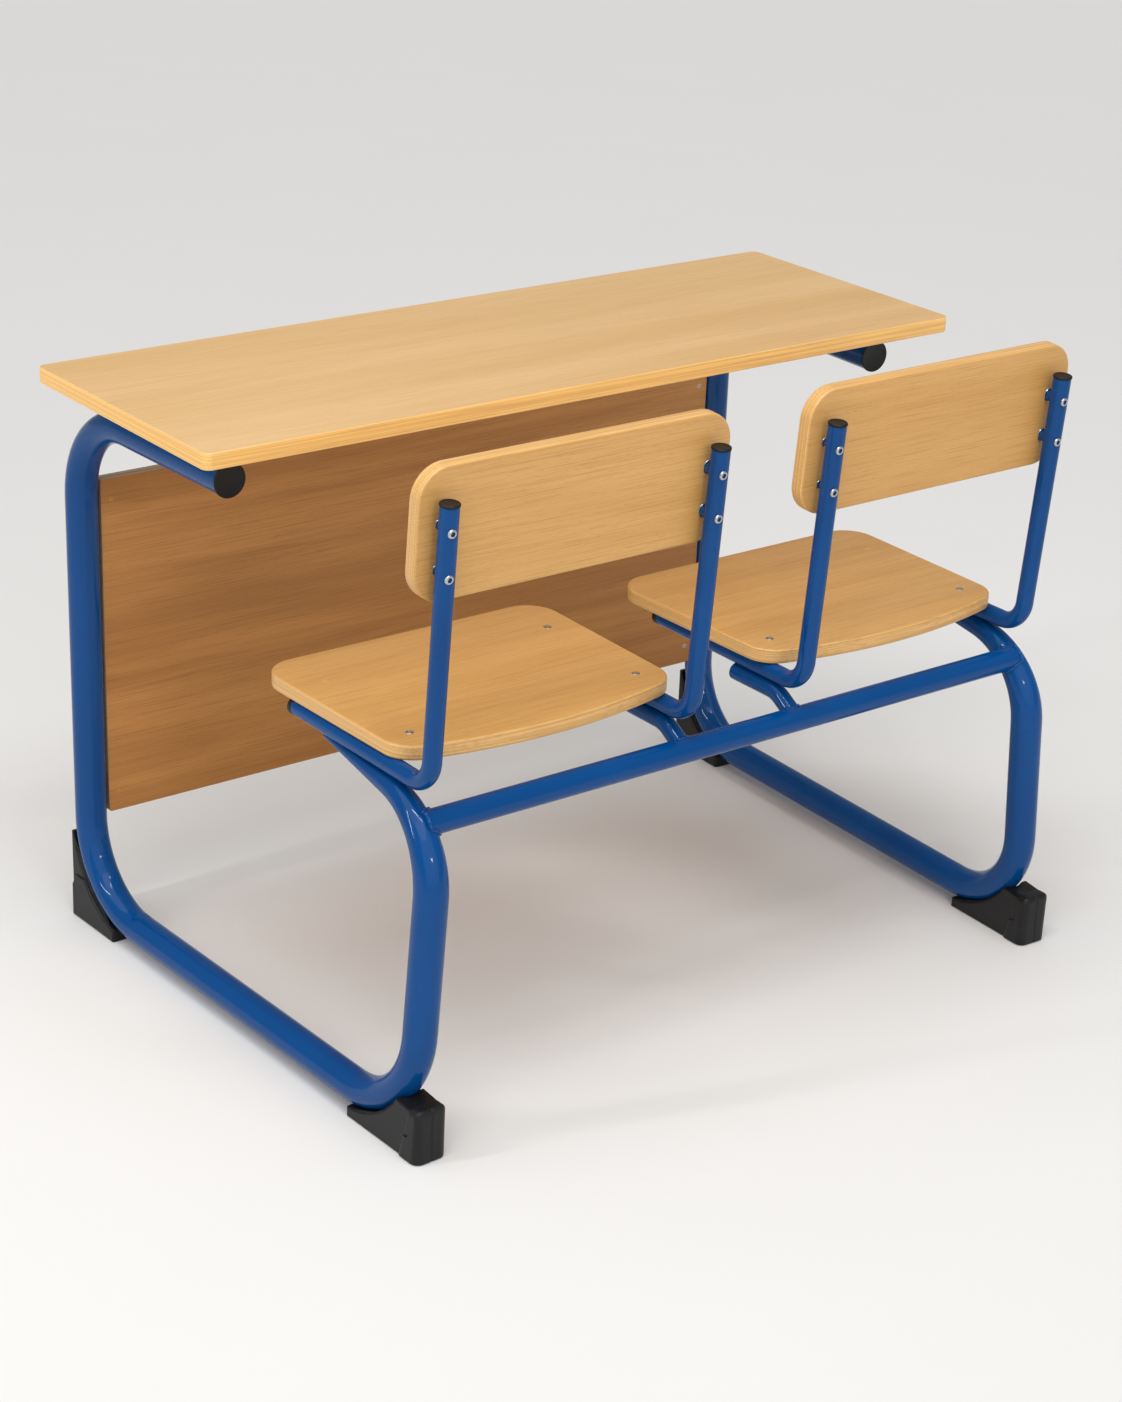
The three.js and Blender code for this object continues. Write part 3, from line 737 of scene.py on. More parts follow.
@dataclass
class SideFrame:
    """One bent tube: arm under the top, desk leg, floor rail, leaning near leg and arm under the chair."""

    side: int
    palette: Palette
    radius: float = 20.0
    bend: float = 115.0
    seat_bend: float = 95.0
    splay: float = math.radians(2.1)
    near_x: float = 478.0
    near_y: float = -300.0
    pull_in: float = 25.0
    arm_pull_in: float = 37.0
    length: float = 697.0
    rail_z: float = 29.0
    arm_z: float = 690.0
    arm_end: float = 366.0
    seat_arm_z: float = 401.3
    seat_arm_end: float = 228.0
    taper_share: float = 0.85
    cap_lip: float = 1.2
    tab_height: float = 40.0
    tab_reach: float = 30.0  # how far each tab runs behind the panel from its end
    tab_inset: float = 26.0  # a tab's middle from the panel's lower or upper edge

    @property
    def label(self) -> str:
        """left or right."""
        return SIDES[self.side]

    @property
    def matrix(self) -> np.ndarray:
        """Place of the frame's own axes: its Y runs from the near leg towards the desk leg."""
        return moved(self.side * self.near_x, self.near_y, 0) @ turned_about("Z", -self.side * self.splay)

    def run(self, spacing: float = 14.0, turn_steps: int = 26) -> Run:
        """The tube's centre line in the frame's own axes.

        Args:
            spacing: the longest step on a straight, in millimetres.
            turn_steps: steps in each bend.

        Returns:
            The run, from the arm under the top to the arm under the chair.
        """
        inward = -self.side
        corners = [
            (0, self.arm_end, self.arm_z), (0, self.length, self.arm_z), (0, self.length, self.rail_z),
            (0, 0, self.rail_z), (inward * self.pull_in, 0, self.seat_arm_z),
            (inward * self.arm_pull_in, self.seat_arm_end, self.seat_arm_z),
        ]
        return Run.bent(corners, [self.bend, self.bend, self.bend, self.seat_bend], spacing, turn_steps)

    def skin(self) -> np.ndarray:
        """The tube's skin, drawn down to a slim end that closes under the chair's rail.

        From the near leg on, with u from 0 at the leg to 1 at the arm's end, the section shrinks to
        f = 1 - 0.85 u of its size about the outer line of the bend, which the chair's rail lies on. So the
        centre moves outwards by r (1 - f).

        Returns:
            (stations, columns, 3) points in the frame's own axes.
        """
        run = self.run()
        reach = np.clip(run.points[:, 1] / self.seat_arm_end, 0, 1)
        on_arm = np.arange(len(run.points)) > np.argmax(run.points[:, 1] < 0.01)
        scale = 1 - self.taper_share * np.where(on_arm, reach, 0)
        outwards = np.cross([1.0, 0.0, 0.0], run.heads)
        shifted = Run(run.points + unit(outwards) * (self.radius * (1 - scale))[:, None], run.heads)
        return shifted.sweep(round_section(self.radius), [1.0, 0.0, 0.0], scale)

    def build(self) -> None:
        """Makes the tube with its welded panel tabs, and the plastic cap of the arm under the top."""
        shell = Shell()
        shell.add_grid(placed(self.matrix, self.skin()))
        leg_x = float(placed(self.matrix, np.array([0.0, self.length, 0.0]))[0])
        low, high = cad_box("modesty_panel")
        inner = high[0] - self.tab_reach
        tab = Slab(rounded_rectangle(abs(leg_x) - inner, self.tab_height, 5), 3, 0.8, 3)
        for z in (low[2] + self.tab_inset, high[2] - self.tab_inset):
            place = moved(self.side * (inner + abs(leg_x)) / 2, high[1] + 3.3, z) @ turned_about("X", math.pi / 2)
            shell.add_grid(placed(place, tab.surface()[0]))
        shell.build(f"tube_frame_{self.label}", Slot.BLUE, self.palette.blue, f"side_frame_{self.label}")

        rim = self.radius + self.cap_lip
        profile = [
            (0.05, -6), (self.radius - 3, -6), (self.radius - 3, 0.4), (rim - 0.6, 0.4), (rim, 0.9), (rim, 1.7),
            (rim - 0.3, 2.3), (rim - 0.9, 2.7), (rim - 1.8, 2.8), (rim - 2.6, 2.5), (rim - 3.4, 2.2), (0.05, 2.4),
        ]
        place = self.matrix @ moved(0, self.arm_end, self.arm_z) @ turned_about("X", math.pi / 2)
        cap = Shell().add_grid(placed(place, lathe(profile, 64)))
        cap.build(f"arm_end_cap_{self.label}", Slot.BLACK, self.palette.black, f"desk_arm_cap_{self.label}")


# ---- Feet -----------------------------------------------------------------------------------------------


@dataclass
class Feet:
    """The two plastic feet of one side frame, cradling its bends."""

    frame: SideFrame
    lip: float = 3.0
    clearance: float = 0.3
    near_back: float = -36.0
    near_front: float = 101.0
    near_height: float = 68.0
    desk_back: float = 19.0
    desk_front: float = -80.0
    desk_height: float = 120.0
    block_height: float = 62.0
    hole_length: float = 5.5  # half of it
    hole_width: float = 2.6  # half of it
    hole_depth: float = 3.5

    def side_slab(self, outline: np.ndarray, width: float, edge: float) -> np.ndarray:
        """A slab standing in the frame's Y-Z plane, centred on the tube.

        Args:
            outline: (columns, 2) outline, y and z.
            width: its thickness across the tube.
            edge: radius of its edges.

        Returns:
            (rings, columns, 3) points.
        """
        points, _ = Slab(outline, width, edge, 4, 18).surface()
        return np.stack([points[..., 2] - width / 2, points[..., 0], points[..., 1]], axis=-1)

    def cradled(self, points: np.ndarray, middle_y: float) -> np.ndarray:
        """Presses the bent tube's groove into a foot.

        Measured from the bend's middle, no point of the foot is nearer than R + sqrt(r^2 - x^2), the tube's skin.

        Args:
            points: (..., 3) points of the foot.
            middle_y: y of the bend's middle.

        Returns:
            The points, those inside the tube pushed out to its skin.
        """
        middle = np.array([middle_y, self.frame.rail_z + self.frame.bend])
        offset = points[..., 1:] - middle
        distance = np.linalg.norm(offset, axis=-1)
        skin = self.frame.radius + self.clearance
        depth = np.sqrt(np.clip(skin**2 - points[..., 0] ** 2, 0, None))
        least = np.where(np.abs(points[..., 0]) < skin, self.frame.bend + depth, 0)
        pushed = middle + offset * (np.maximum(distance, least) / distance)[..., None]
        return np.concatenate([points[..., :1], pushed], axis=-1)

    def block(self) -> tuple[np.ndarray, np.ndarray]:
        """The tall block behind the near leg: a rounded rectangle that narrows upwards, with a mould seam.

        Each ring is the base outline with its front edge drawn back in proportion to height, and the last rings
        follow a quarter circle inwards over the top. A long hole is pressed into each side where
        (y / a)^2 + (z / b)^2 < 1, along a line that falls forwards.

        Returns:
            The rings, and how deep in a hole each point lies, from 0 to 1, which also sets the painted shade in the
            holes.
        """
        depth, width, corner, dome = 40.0, 45.0, 11.0, 8.0
        outline = resampled(rounded_rectangle(depth, width, corner, 10), 0.9)
        turn = np.linspace(0, np.pi / 2, 9)[1:]
        levels = np.concatenate([[0, 0.6, 1.6], np.linspace(3, self.near_height - dome, 70)])
        inset = np.concatenate([[1.6, 0.5, 0.0], np.zeros(70), dome * (1 - np.cos(turn))])
        height = np.concatenate([levels, self.near_height - dome + dome * np.sin(turn)])
        ring = outline - outward(outline) * inset[:, None, None]
        part = (height / self.near_height)[:, None]
        along = (ring[..., 0] + depth / 2) * (1 - 0.5 * part) + self.near_back
        across = ring[..., 1] * (1.0 - 0.06 * part)
        rear = outline[:, 0] < -depth / 2 + 0.01
        along = along + 0.8 * (1 - smooth_step(0.4, 1.1, np.abs(outline[:, 1]))) * rear
        tall = np.broadcast_to(height[:, None], along.shape)
        y, z = along + 14.0, tall - 33.0 + 0.35 * (along + 14.0)
        hole = 1 - smooth_step(0.75, 1.1, np.hypot(y / self.hole_length, z / self.hole_width))
        hole = hole * (np.abs(across) > 15)
        across = across - np.sign(across) * self.hole_depth * hole
        return np.stack([across, along, tall], axis=-1), hole

    def build(self) -> None:
        """Makes the chair-end foot and the desk-end foot."""
        frame = self.frame
        base = frame.rail_z + frame.bend
        lip_radius = frame.bend + frame.radius - self.lip

        def turns(rise: float) -> float:
            """Quarter turns from the bend's level line to a point on the lip that far above or before its middle."""
            return math.asin(rise / lip_radius) / (math.pi / 2)

        start = turns(frame.bend - self.near_front)
        curve = arc((frame.bend, base), lip_radius, 3 - start, 2 + turns(base - self.near_height), 22)
        back = self.near_back + 14
        sole = [[back, 0.0], [0.0, 0.0], [50.0, 0.0], [self.near_front, 0.0]]
        outline = np.concatenate([sole, curve, [[back, self.near_height - 3], [back, 30.0]]])
        wedge = self.cradled(self.side_slab(outline, 40, 2), frame.bend)
        shell = Shell().add_grid(placed(frame.matrix, wedge))
        block, hole = self.block()
        # the hole mask also gives the pressed holes their painted shade, through the recess attribute
        shell.add_grid(placed(frame.matrix, block), recess=hole)
        black = frame.palette.black
        shell.build(f"near_foot_{frame.label}", Slot.BLACK, black, f"foot_chair_end_{frame.label}")

        leg = frame.length
        middle, heel, toe = leg - frame.bend, leg + self.desk_back, leg + self.desk_front
        start = turns(frame.bend + self.desk_front)
        curve = arc((middle, base), lip_radius, 4 - turns(base - self.desk_height), 3 + start, 30)
        sole = [[toe, 0.0], [leg - 40, 0.0], [heel, 0.0], [heel, 60.0], [heel, self.desk_height]]
        wedge = self.cradled(self.side_slab(np.concatenate([sole, curve]), 37, 1.5), middle)
        shell = Shell().add_grid(placed(frame.matrix, wedge))
        curve = arc((middle, base), lip_radius + 0.6, 4 - turns(base - self.block_height), 3 + start, 20)
        sole = [
            [toe + 1, 0.0], [leg - 40, 0.0], [heel + 0.6, 0.0], [heel + 0.6, 44.0], [heel - 9, self.block_height - 1]
        ]
        block = self.cradled(self.side_slab(np.concatenate([sole, curve]), 41, 2.5), middle)
        shell.add_grid(placed(frame.matrix, block))
        shell.build(f"far_foot_{frame.label}", Slot.BLACK, black, f"foot_desk_end_{frame.label}")


# ---- Cross tube -----------------------------------------------------------------------------------------


@dataclass
class CrossTube:
    """The tube between the side frames, and the two bent stubs on it that hold the chairs' inner rails."""

    palette: Palette
    frames: list[SideFrame]
    y: float = -272.0
    z: float = 387.0
    radius: float = 15.0
    half_length: float = 455.0
    stub_x: float = 86.0
    stub_radius: float = 11.0
    stub_wall: float = 1.5
    stub_bend: float = 40.0
    stub_end: float = -160.0
    stub_z: float = 410.3

    def gap_to_tube(self, points: np.ndarray) -> np.ndarray:
        """Distance from the cross tube's skin."""
        return np.hypot(points[..., 1] - self.y, points[..., 2] - self.z) - self.radius

    def build(self) -> None:
        """Makes the tube with the weld beads at its ends, and the stubs with theirs."""
        shell = Shell()
        run = Run.bent([(-self.half_length, self.y, self.z), (self.half_length, self.y, self.z)], spacing=60)
        shell.add_grid(run.sweep(round_section(self.radius), [0.0, 1.0, 0.0]))
        for frame in self.frames:
            line = placed(frame.matrix, frame.run(2.0, 90).points)
            near = line[(np.abs(line[:, 1] - self.y) < 120) & (line[:, 2] > 200)]

            def gap_to_leg(points: np.ndarray) -> np.ndarray:
                """Distance from the leg's skin."""
                steps = np.linalg.norm(points[..., None, :] - near, axis=-1)
                return steps.min(axis=-1) - frame.radius

            axis = np.array([float(frame.side), 0.0, 0.0])
            start = np.array([0.0, self.y, self.z])
            reach = np.linspace(415.0, 452.0, 149)
            bead = weld_bead(weld_line(start, axis, self.radius, gap_to_leg, reach), 2.3, axis)
            shell.add_grid(bead, wrap_rows=True)
        shell.build("cross_bar", Slot.BLUE, self.palette.blue, "cross_tube")

        for side, label in SIDES.items():
            x = side * self.stub_x
            corners = [(x, self.y + 4, self.z + 4), (x, self.y + 36, self.stub_z), (x, self.stub_end, self.stub_z)]
            run = Run.bent(corners, [self.stub_bend])
            outer, inner = (
                run.sweep(round_section(radius, 40), [1.0, 0.0, 0.0])
                for radius in (self.stub_radius, self.stub_radius - self.stub_wall)
            )
            stub = Shell().add_grid(np.concatenate([outer, inner[::-1]]), wrap_rows=True)
            start, head = np.array(corners[0], float), np.array(corners[1], float) - corners[0]
            line = weld_line(start, head, self.stub_radius, self.gap_to_tube, np.linspace(0, 30, 121))
            stub.add_grid(weld_bead(line, 1.8, unit(head)), wrap_rows=True)
            stub.build(f"chair_stub_{label}", Slot.BLUE, self.palette.blue, f"inner_support_{label}")


# ---- Chairs ---------------------------------------------------------------------------------------------


@dataclass
class Chair:
    """A seat and a back on two bent posts."""

    side: int
    palette: Palette
    middle: float = 268.0
    seat_middle: float = 262.0
    post_offset: float = 182.0
    radius: float = 11.0
    bend: float = 36.0
    rail_z: float = 432.6
    rail_front: float = -10.0
    foot_y: float = -281.2
    lean: float = math.radians(4.3)
    post_length: float = 332.0
    seat_thickness: float = 18.0
    back_width: float = 420.0
    back_height: float = 155.0
    back_corner: float = 38.0
    back_bottom: float = 214.0
    back_face: float = 16.8
    bolt_rows: tuple[float, float] = (253.0, 305.0)
    boss_radii: tuple[float, float] = (4.6, 8.0)  # left-hand and right-hand post
    bolt_head: float = 5.4
    head_shift: float = 2.5
    screw_offset: float = 159.0
    screw_rows: tuple[float, float] = (-26.0, -198.0)

    @property
    def label(self) -> str:
        """left or right."""
        return SIDES[self.side]

    @property
    def leaning(self) -> np.ndarray:
        """Place of the back's own axes: Z up the leaning posts, Y towards the sitter's back."""
        return moved(self.side * self.middle, self.foot_y, self.rail_z) @ turned_about("X", self.lean)

    def seat_outline(self) -> np.ndarray:
        """Straight front edge, round corners and a rear edge bowed outwards as a quadratic curve."""
        t = np.linspace(0, 1, 27)[1:-1, None]
        ends = np.array([[-167.4, -236.0], [0.0, -278.0], [167.4, -236.0]])
        rear = (1 - t) ** 2 * ends[0] + 2 * t * (1 - t) * ends[1] + t**2 * ends[2]
        return np.concatenate([
            arc((160, 13), 40, 0, 1, 12), arc((-160, 13), 40, 1, 2, 12), arc((-155, -198), 40, 2, 2.8, 10), rear,
            arc((155, -198), 40, 3.2, 4, 10),
        ])

    def socket_head(
        self, radius: float, height: float, hole: float, sides: int = 48
    ) -> tuple[np.ndarray, np.ndarray]:
        """A low domed head with a hexagon socket, whose rings have radius hole / cos(a mod 60 - 30 degrees).

        Args:
            radius: the head's radius.
            height: its height.
            hole: half the width across the socket's flats.
            sides: points in each ring.

        Returns:
            (rings, sides, 3) points, and how much painted shade each point gets down in the socket, from 0 to 1.
        """
        angle = np.linspace(0, 2 * np.pi, sides, endpoint=False)
        hexagon = hole / np.cos(np.mod(angle, np.pi / 3) - np.pi / 6)
        rings = np.array([0.05, 0.9, 1.0, 1.0, 0.93, 0.8, 0.7]) * radius
        heights = np.array([0.0, 0.0, 0.12, 0.45, 0.78, 0.95, 1.0]) * height
        outer = np.broadcast_to(rings[:, None], (len(rings), sides))
        inner = np.stack([hexagon * 1.08, hexagon, hexagon * 0.96, hexagon * 0.02])
        depth = np.array([1.0, 0.9, 0.15, 0.15]) * height
        reach = np.concatenate([outer, inner])
        tall = np.broadcast_to(np.concatenate([heights, depth])[:, None], reach.shape)
        # painted shade: the socket's walls and floor are darkened, where shade falls
        dark = np.broadcast_to(np.array([0.0] * 8 + [0.5, 0.9, 0.7])[:, None], reach.shape)
        points = np.stack([reach * np.cos(angle), reach * np.sin(angle), tall], axis=-1)
        return points, dark

    def cross_head(self, radius: float, sides: int = 48) -> tuple[np.ndarray, np.ndarray]:
        """A flat countersunk head with a cross recess pressed into it.

        Args:
            radius: the head's radius.
            sides: points in each ring.

        Returns:
            (rings, sides, 3) points, and how deep in the recess each point lies, from 0 to 1, which also sets its
            painted shade.
        """
        reach = np.array([1.0, 1.0, 0.94, 0.8, 0.66, 0.55, 0.44, 0.33, 0.2, 0.02])[:, None] * radius
        angle = np.linspace(0, 2 * np.pi, sides, endpoint=False)
        x, y = reach * np.cos(angle), reach * np.sin(angle)
        slot = 1 - smooth_step(0.35, 0.75, np.minimum(np.abs(x), np.abs(y)))
        # the recess depth, also used as a mask of painted shade in the cross recess
        deep = slot * (1 - smooth_step(0.5 * radius, 0.7 * radius, np.broadcast_to(reach, x.shape)))
        level = np.array([-0.8, 0.0, 0.25, 0.4, 0.42, 0.42, 0.42, 0.42, 0.42, 0.42])[:, None]
        return np.stack([x, y, level - 0.9 * deep], axis=-1), deep

    def build_post(self, hand: int) -> None:
        """Makes one post with its bosses and seat lugs, its two caps, bolts, washers and seat screws."""
        blue, black, zinc = self.palette.blue, self.palette.black, self.palette.zinc
        key = f"{self.label}_{HANDS[hand]}"
        x = self.side * self.middle + hand * self.post_offset
        up = self.leaning @ moved(hand * self.post_offset, 0, 0)
        top = placed(up, np.array([0.0, 0.0, self.post_length]))
        corners = [(x, self.rail_front, self.rail_z), (x, self.foot_y, self.rail_z), top]
        run = Run.bent(corners, [self.bend])
        shell = Shell().add_grid(run.sweep(round_section(self.radius, 40), [1.0, 0.0, 0.0]))
        wide = self.boss_radii[hand > 0]
        boss = [(0.05, 8), (wide - 0.6, 8), (wide, 8.6), (wide, 14.2), (wide - 0.6, 15), (0.05, 15)]
        for z in self.bolt_rows:
            place = up @ moved(0, 0, z) @ turned_about("X", -math.pi / 2)
            shell.add_grid(placed(place, lathe(boss, 32)))
        screw_x = self.side * self.seat_middle + hand * self.screw_offset
        reach = abs(screw_x - x) + 12
        lug = Slab(rounded_rectangle(reach, 24, 5), 3, 0.8, 3)
        middle = x + math.copysign(reach / 2, screw_x - x)
        for y in self.screw_rows:
            shell.add_grid(placed(moved(middle, y, self.rail_z + self.radius - 3), lug.surface()[0]))
        shell.build(f"post_{key}", Slot.BLUE, blue, f"seat_post_{key}")

        rim = self.radius + 0.6
        profile = [
            (0.05, -6), (9, -6), (9, 0.3), (rim - 0.5, 0.3), (rim, 0.8), (rim, 2.2), (rim - 0.3, 2.9),
            (rim - 1.0, 3.4), (rim - 1.9, 3.6), (rim - 2.9, 3.3), (rim - 4, 3.0), (0.05, 3.4),
        ]
        place = up @ moved(0, 0, self.post_length)
        cap = Shell().add_grid(placed(place, lathe(profile, 48)))
        cap.build(f"post_top_cap_{key}", Slot.BLACK, black, f"post_cap_{key}")
        rim = self.radius
        profile = [
            (0.05, -6), (9, -6), (9, -5.2), (rim, -5.2), (rim + 0.25, -4.8), (rim + 0.25, 2.0), (rim - 0.6, 3.0),
            (0.05, 3.4),
        ]
        place = moved(x, self.rail_front, self.rail_z) @ turned_about("X", -math.pi / 2)
        cap = Shell().add_grid(placed(place, lathe(profile, 40)))
        cap.build(f"rail_end_cap_{key}", Slot.BLACK, black, f"seat_rail_cap_{key}")

        rim = wide + 1.0
        washer = [(rim - 1.4, 0), (rim, 0.3), (rim + 0.2, 0.7), (rim - 0.2, 1.2), (3.6, 1.2), (3.4, 0.6), (3.6, 0)]
        for row, z in enumerate(self.bolt_rows, 1):
            head, dark = self.socket_head(self.bolt_head, 2.4, 2.6)
            place = up @ moved(-self.head_shift, 0.7 - self.radius, z) @ turned_about("X", math.pi / 2)
            # the socket's painted shade goes into the recess attribute
            bolt = Shell().add_grid(placed(place, head), recess=dark)
            bolt.add_grid(placed(place, lathe([(0.05, -2), (3, -2), (3, 0.2), (0.05, 0.2)], 16)))
            bolt.build(f"bolt_{key}_{row}", Slot.ZINC, zinc, f"back_bolt_{key}_{row}")
            place = up @ moved(0, self.radius + 4.2, z) @ turned_about("X", -math.pi / 2)
            ring = Shell().add_grid(placed(place, lathe(washer, 40)), wrap_rows=True)
            ring.build(f"spacer_ring_{key}_{row}", Slot.ZINC, zinc, f"back_washer_{key}_{row}")
        seat_top = cad_box(f"seat_{self.label}")[1][2]
        for row, y in enumerate(self.screw_rows, 1):
            place = moved(screw_x, y, seat_top)
            if row == 1 and (self.side, hand) != (-1, 1):  # under a cover cap of the seat's own veneer
                cover = lathe([(0.05, -1), (4.4, -1), (4.4, 0.05), (4.0, 0.2), (0.05, 0.25)])
                screw, slot, finish = Shell().add_grid(placed(place, cover)), Slot.SEAT, self.palette.seat
            else:
                head, dark = self.cross_head(5.0)
                # the cross recess gets painted shade through the recess attribute
                screw, slot, finish = Shell().add_grid(placed(place, head), recess=dark), Slot.ZINC, zinc
            screw.build(f"screw_{key}_{row}", slot, finish, f"seat_screw_{key}_{row}")

    def build(self) -> None:
        """Makes the seat, the back and both posts."""
        seat = Shell()
        place = moved(self.side * self.seat_middle, 0, cad_box(f"seat_{self.label}")[0][2])
        add_board(seat, Slab(self.seat_outline(), self.seat_thickness, 2.5), place, 900 + 700 * self.side)
        seat.build(f"seat_board_{self.label}", Slot.SEAT, self.palette.seat, f"seat_{self.label}")
        outline = rounded_rectangle(self.back_width, self.back_height, self.back_corner, 12)
        middle = moved(0, self.back_face + self.seat_thickness, self.back_bottom + self.back_height / 2)
        place = self.leaning @ middle @ turned_about("X", math.pi / 2)
        back = Shell()
        add_board(back, Slab(outline, self.seat_thickness, 2.8), place, 3100 + 500 * self.side)
        back.build(f"back_board_{self.label}", Slot.SEAT, self.palette.seat, f"backrest_{self.label}")
        for hand in HANDS:
            self.build_post(hand)


# ---- Desk -----------------------------------------------------------------------------------------------


@dataclass
class Desk:
    """The top, the two square bearers under it and the front panel with its screws."""

    palette: Palette
    chair: Chair
    corner: float = 11.0
    edge: float = 1.6
    panel_corner: float = 4.0
    panel_edge: float = 1.0
    bearer: float = 19.4
    bearer_wall: float = 1.5
    screw_inset: float = 14.0
    screw_rise: float = 26.0
    screw_head: float = 3.4

    def build(self) -> None:
        """Makes the boards, the bearers and the screws."""
        low, high = cad_box("desk_top")
        size, middle = high - low, (high + low) / 2
        top = Shell()
        outline = rounded_rectangle(size[0], size[1], self.corner, 8)
        add_board(top, Slab(outline, size[2], self.edge), moved(middle[0], middle[1], low[2]), 0.0)
        top.build("top_board", Slot.TOP, self.palette.top, "desk_top")

        low, high = cad_box("modesty_panel")
        size, middle = high - low, (high + low) / 2
        outline = rounded_rectangle(size[0], size[2], self.panel_corner, 4)
        upright = moved(middle[0], high[1], middle[2]) @ turned_about("X", math.pi / 2)
        panel = Shell()
        add_board(panel, Slab(outline, size[1], self.panel_edge, 4), upright, 5200.0)
        panel.build("front_panel", Slot.PANEL, self.palette.panel, "modesty_panel")
        places = [
            (side * (high[0] - self.screw_inset), z)
            for side in SIDES
            for z in (low[2] + self.screw_rise, high[2] - self.screw_rise)
        ]
        for index, (x, z) in enumerate(places, 1):
            place = moved(x, low[1], z) @ turned_about("X", math.pi / 2)
            if x < 0:  # the left-hand screws are under cover caps of the panel's own veneer
                cover = lathe([(0.05, -1), (3.4, -1), (3.4, 0.1), (3.1, 0.3), (0.05, 0.4)])
                screw, slot, finish = Shell().add_grid(placed(place, cover)), Slot.PANEL, self.palette.panel
            else:
                head, dark = self.chair.cross_head(self.screw_head)
                # the cross recess gets painted shade through the recess attribute
                screw, slot, finish = Shell().add_grid(placed(place, head), recess=dark), Slot.ZINC, self.palette.zinc
            screw.build(f"panel_fixing_{index}", slot, finish, f"panel_screw_{index}")

        for index in (1, 2):
            low, high = cad_box(f"top_bearer_{index}")
            middle = (high + low) / 2
            run = Run.bent([(low[0], middle[1], middle[2]), (high[0], middle[1], middle[2])], spacing=100)
            outer = run.sweep(rounded_rectangle(self.bearer, self.bearer, 2.5, 5), [0.0, 1.0, 0.0])
            hollow = self.bearer - 2 * self.bearer_wall
            inner = run.sweep(rounded_rectangle(hollow, hollow, 1.2, 5), [0.0, 1.0, 0.0])
            shell = Shell().add_grid(np.concatenate([outer, inner[::-1]]), wrap_rows=True)
            shell.build(f"bearer_tube_{index}", Slot.BLUE, self.palette.blue, f"top_bearer_{index}")


# ---- Studio ---------------------------------------------------------------------------------------------


@dataclass(frozen=True)
class Softbox:
    """A square area light, in metres, aimed at a point."""

    name: str
    place: tuple[float, float, float]
    aim: tuple[float, float, float]
    size: tuple[float, float]
    power: float

    def build(self) -> None:
        """Makes the light."""
        data = bpy.data.lights.new(self.name, "AREA")
        data.shape = "RECTANGLE"
        data.size, data.size_y = self.size
        data.energy = self.power
        lamp = bpy.data.objects.new(self.name, data)
        bpy.context.scene.collection.objects.link(lamp)
        lamp.location = self.place
        lamp.rotation_euler = (Vector(self.aim) - Vector(self.place)).to_track_quat("-Z", "Y").to_euler()


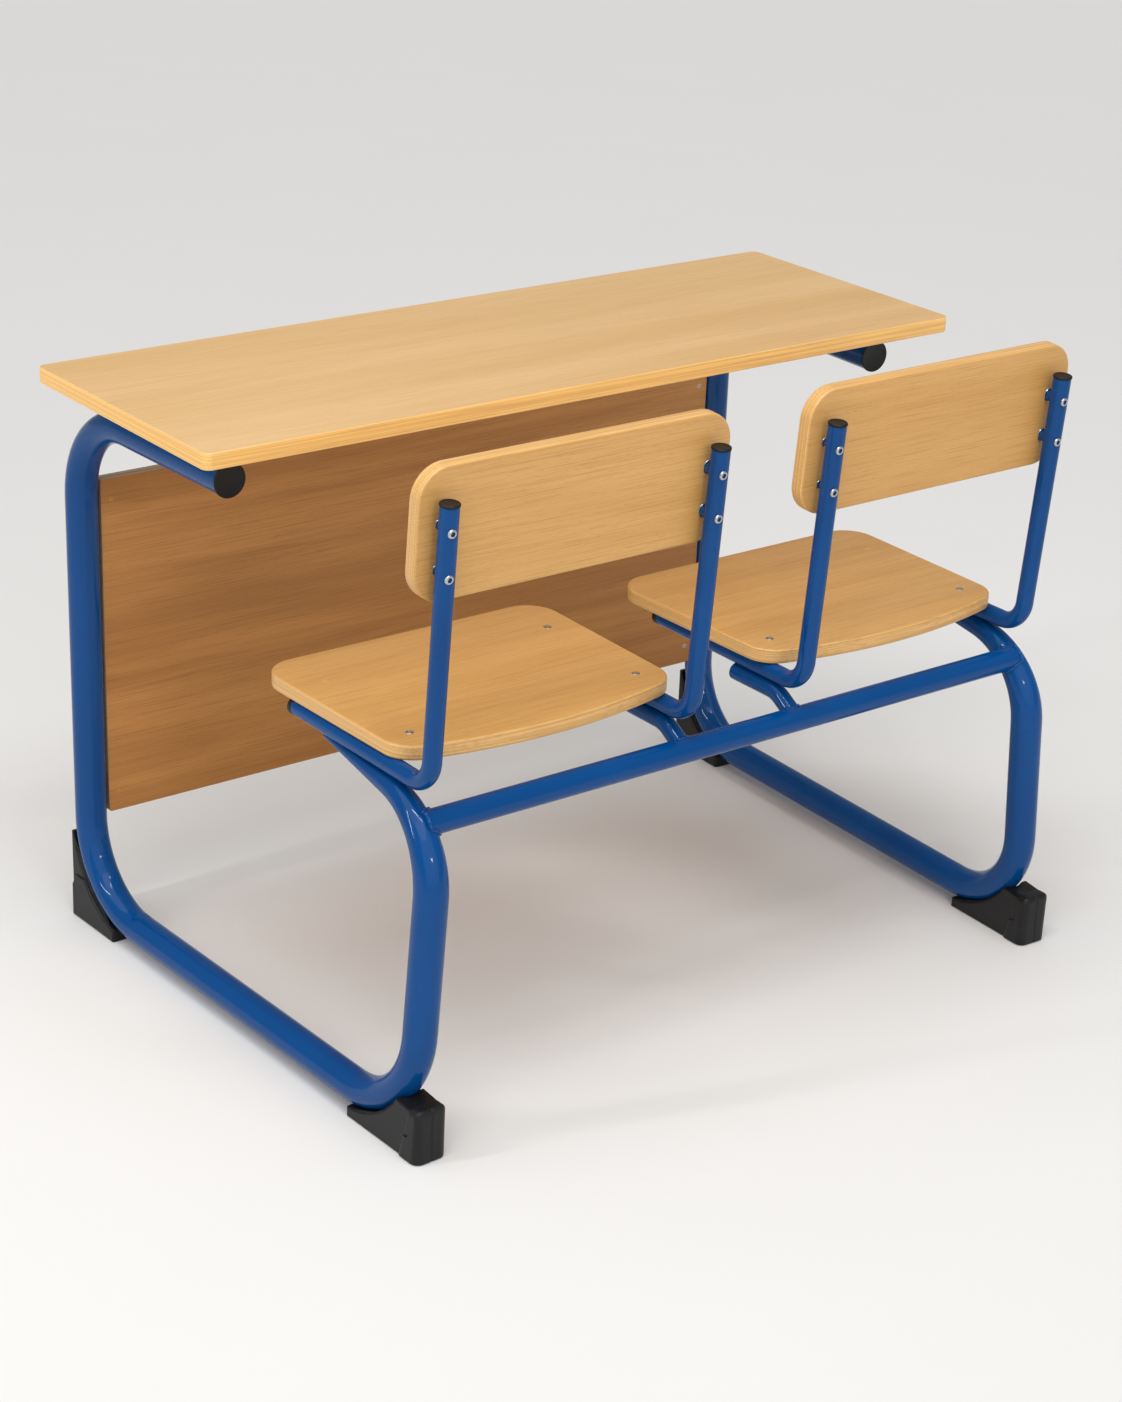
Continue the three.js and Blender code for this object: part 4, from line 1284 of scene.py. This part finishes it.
@dataclass
class Studio:
    """Pale floor, soft light and the camera."""

    half_floor: float = 40.0
    ambient: float = 0.36
    sky: float = 1.32
    fill: float = 1.12
    camera_place: tuple[float, float, float] = (-2.0693, -2.6312, 1.7435)
    yaw: float = math.radians(37.83)
    pitch: float = math.radians(23.1)
    roll: float = math.radians(2.23)
    lens: float = 73.83

    def build_floor(self) -> None:
        """Makes the floor, a wide grid just under the feet."""
        ticks = np.linspace(-self.half_floor, self.half_floor, 9)
        x, y = np.meshgrid(ticks, ticks, indexing="ij")
        points = np.stack([x, y, np.full_like(x, -0.0005)], axis=-1).reshape(-1, 3)
        row, column = np.meshgrid(np.arange(8), np.arange(8), indexing="ij")
        corner = row * 9 + column
        faces = np.stack([corner, corner + 9, corner + 10, corner + 1], axis=-1).reshape(-1, 4)
        mesh = bpy.data.meshes.new("floor")
        mesh.from_pydata(points, [], faces.tolist())
        mesh.materials.append(StudioFloor().build())
        floor = bpy.data.objects.new("floor", mesh)
        bpy.context.scene.collection.objects.link(floor)

    def build_light(self) -> None:
        """Makes the even room light, two broad soft lights and the softboxes that show in the paint."""
        world = bpy.data.worlds.new("studio_room")
        world.use_nodes = True
        tree = world.node_tree
        tree.nodes.clear()
        room = add_node(tree, "ShaderNodeBackground", {"Color": linear("#f4f4f4"), "Strength": self.ambient})
        add_node(tree, "ShaderNodeOutputWorld", {"Surface": room.outputs["Background"]})
        bpy.context.scene.world = world
        for name, strength, spread, aim in (
            ("overhead_sky", self.sky, 70.0, (0.25, 0.05, -1.0)),
            ("front_fill", self.fill, 90.0, (0.3, 0.85, -0.45)),
        ):
            sun = bpy.data.lights.new(name, "SUN")
            sun.energy = strength
            sun.angle = math.radians(spread)
            lamp = bpy.data.objects.new(name, sun)
            bpy.context.scene.collection.objects.link(lamp)
            lamp.rotation_euler = Vector(aim).to_track_quat("-Z", "Y").to_euler()
        for box in (
            Softbox("softbox_overhead", (-0.6, -0.8, 2.6), (0, 0, 0.4), (1.4, 0.12), 15),
            Softbox("softbox_left", (-2.6, 0.3, 1.5), (0, 0, 0.4), (0.1, 1.3), 13),
            Softbox("softbox_camera_side", (-0.9, -3.2, 1.9), (0, 0, 0.4), (0.6, 0.18), 10),
        ):
            box.build()

    def build_camera(self) -> None:
        """Aims the camera: looks along yaw and pitch, then rolls about its own line of sight."""
        ahead = Vector((
            math.sin(self.yaw) * math.cos(self.pitch), math.cos(self.yaw) * math.cos(self.pitch),
            -math.sin(self.pitch),
        ))
        right = Vector((math.cos(self.yaw), -math.sin(self.yaw), 0.0))
        up = right.cross(ahead)
        across = right * math.cos(self.roll) + up * math.sin(self.roll)
        above = up * math.cos(self.roll) - right * math.sin(self.roll)
        data = bpy.data.cameras.new("camera")
        data.lens = self.lens
        data.sensor_width = 36.0
        camera = bpy.data.objects.new("camera", data)
        bpy.context.scene.collection.objects.link(camera)
        camera.matrix_world = Matrix((
            (across.x, above.x, -ahead.x, self.camera_place[0]),
            (across.y, above.y, -ahead.y, self.camera_place[1]),
            (across.z, above.z, -ahead.z, self.camera_place[2]),
            (0.0, 0.0, 0.0, 1.0),
        ))
        bpy.context.scene.camera = camera

    def build(self) -> None:
        """Makes floor, light and camera, and keeps colours plain."""
        self.build_floor()
        self.build_light()
        self.build_camera()
        bpy.context.scene.view_settings.view_transform = "Standard"


def main() -> None:
    """Builds the studio and the desk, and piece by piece."""
    logging.basicConfig(level=logging.INFO, format="%(message)s")
    Studio().build()
    palette = Palette()
    frames = [SideFrame(side, palette) for side in SIDES]
    for side_frame in frames:
        side_frame.build()
        Feet(side_frame).build()
    CrossTube(palette, frames).build()
    chairs = [Chair(side, palette) for side in SIDES]
    for chair in chairs:
        chair.build()
    Desk(palette, chairs[0]).build()


if __name__ == "__main__":
    main()
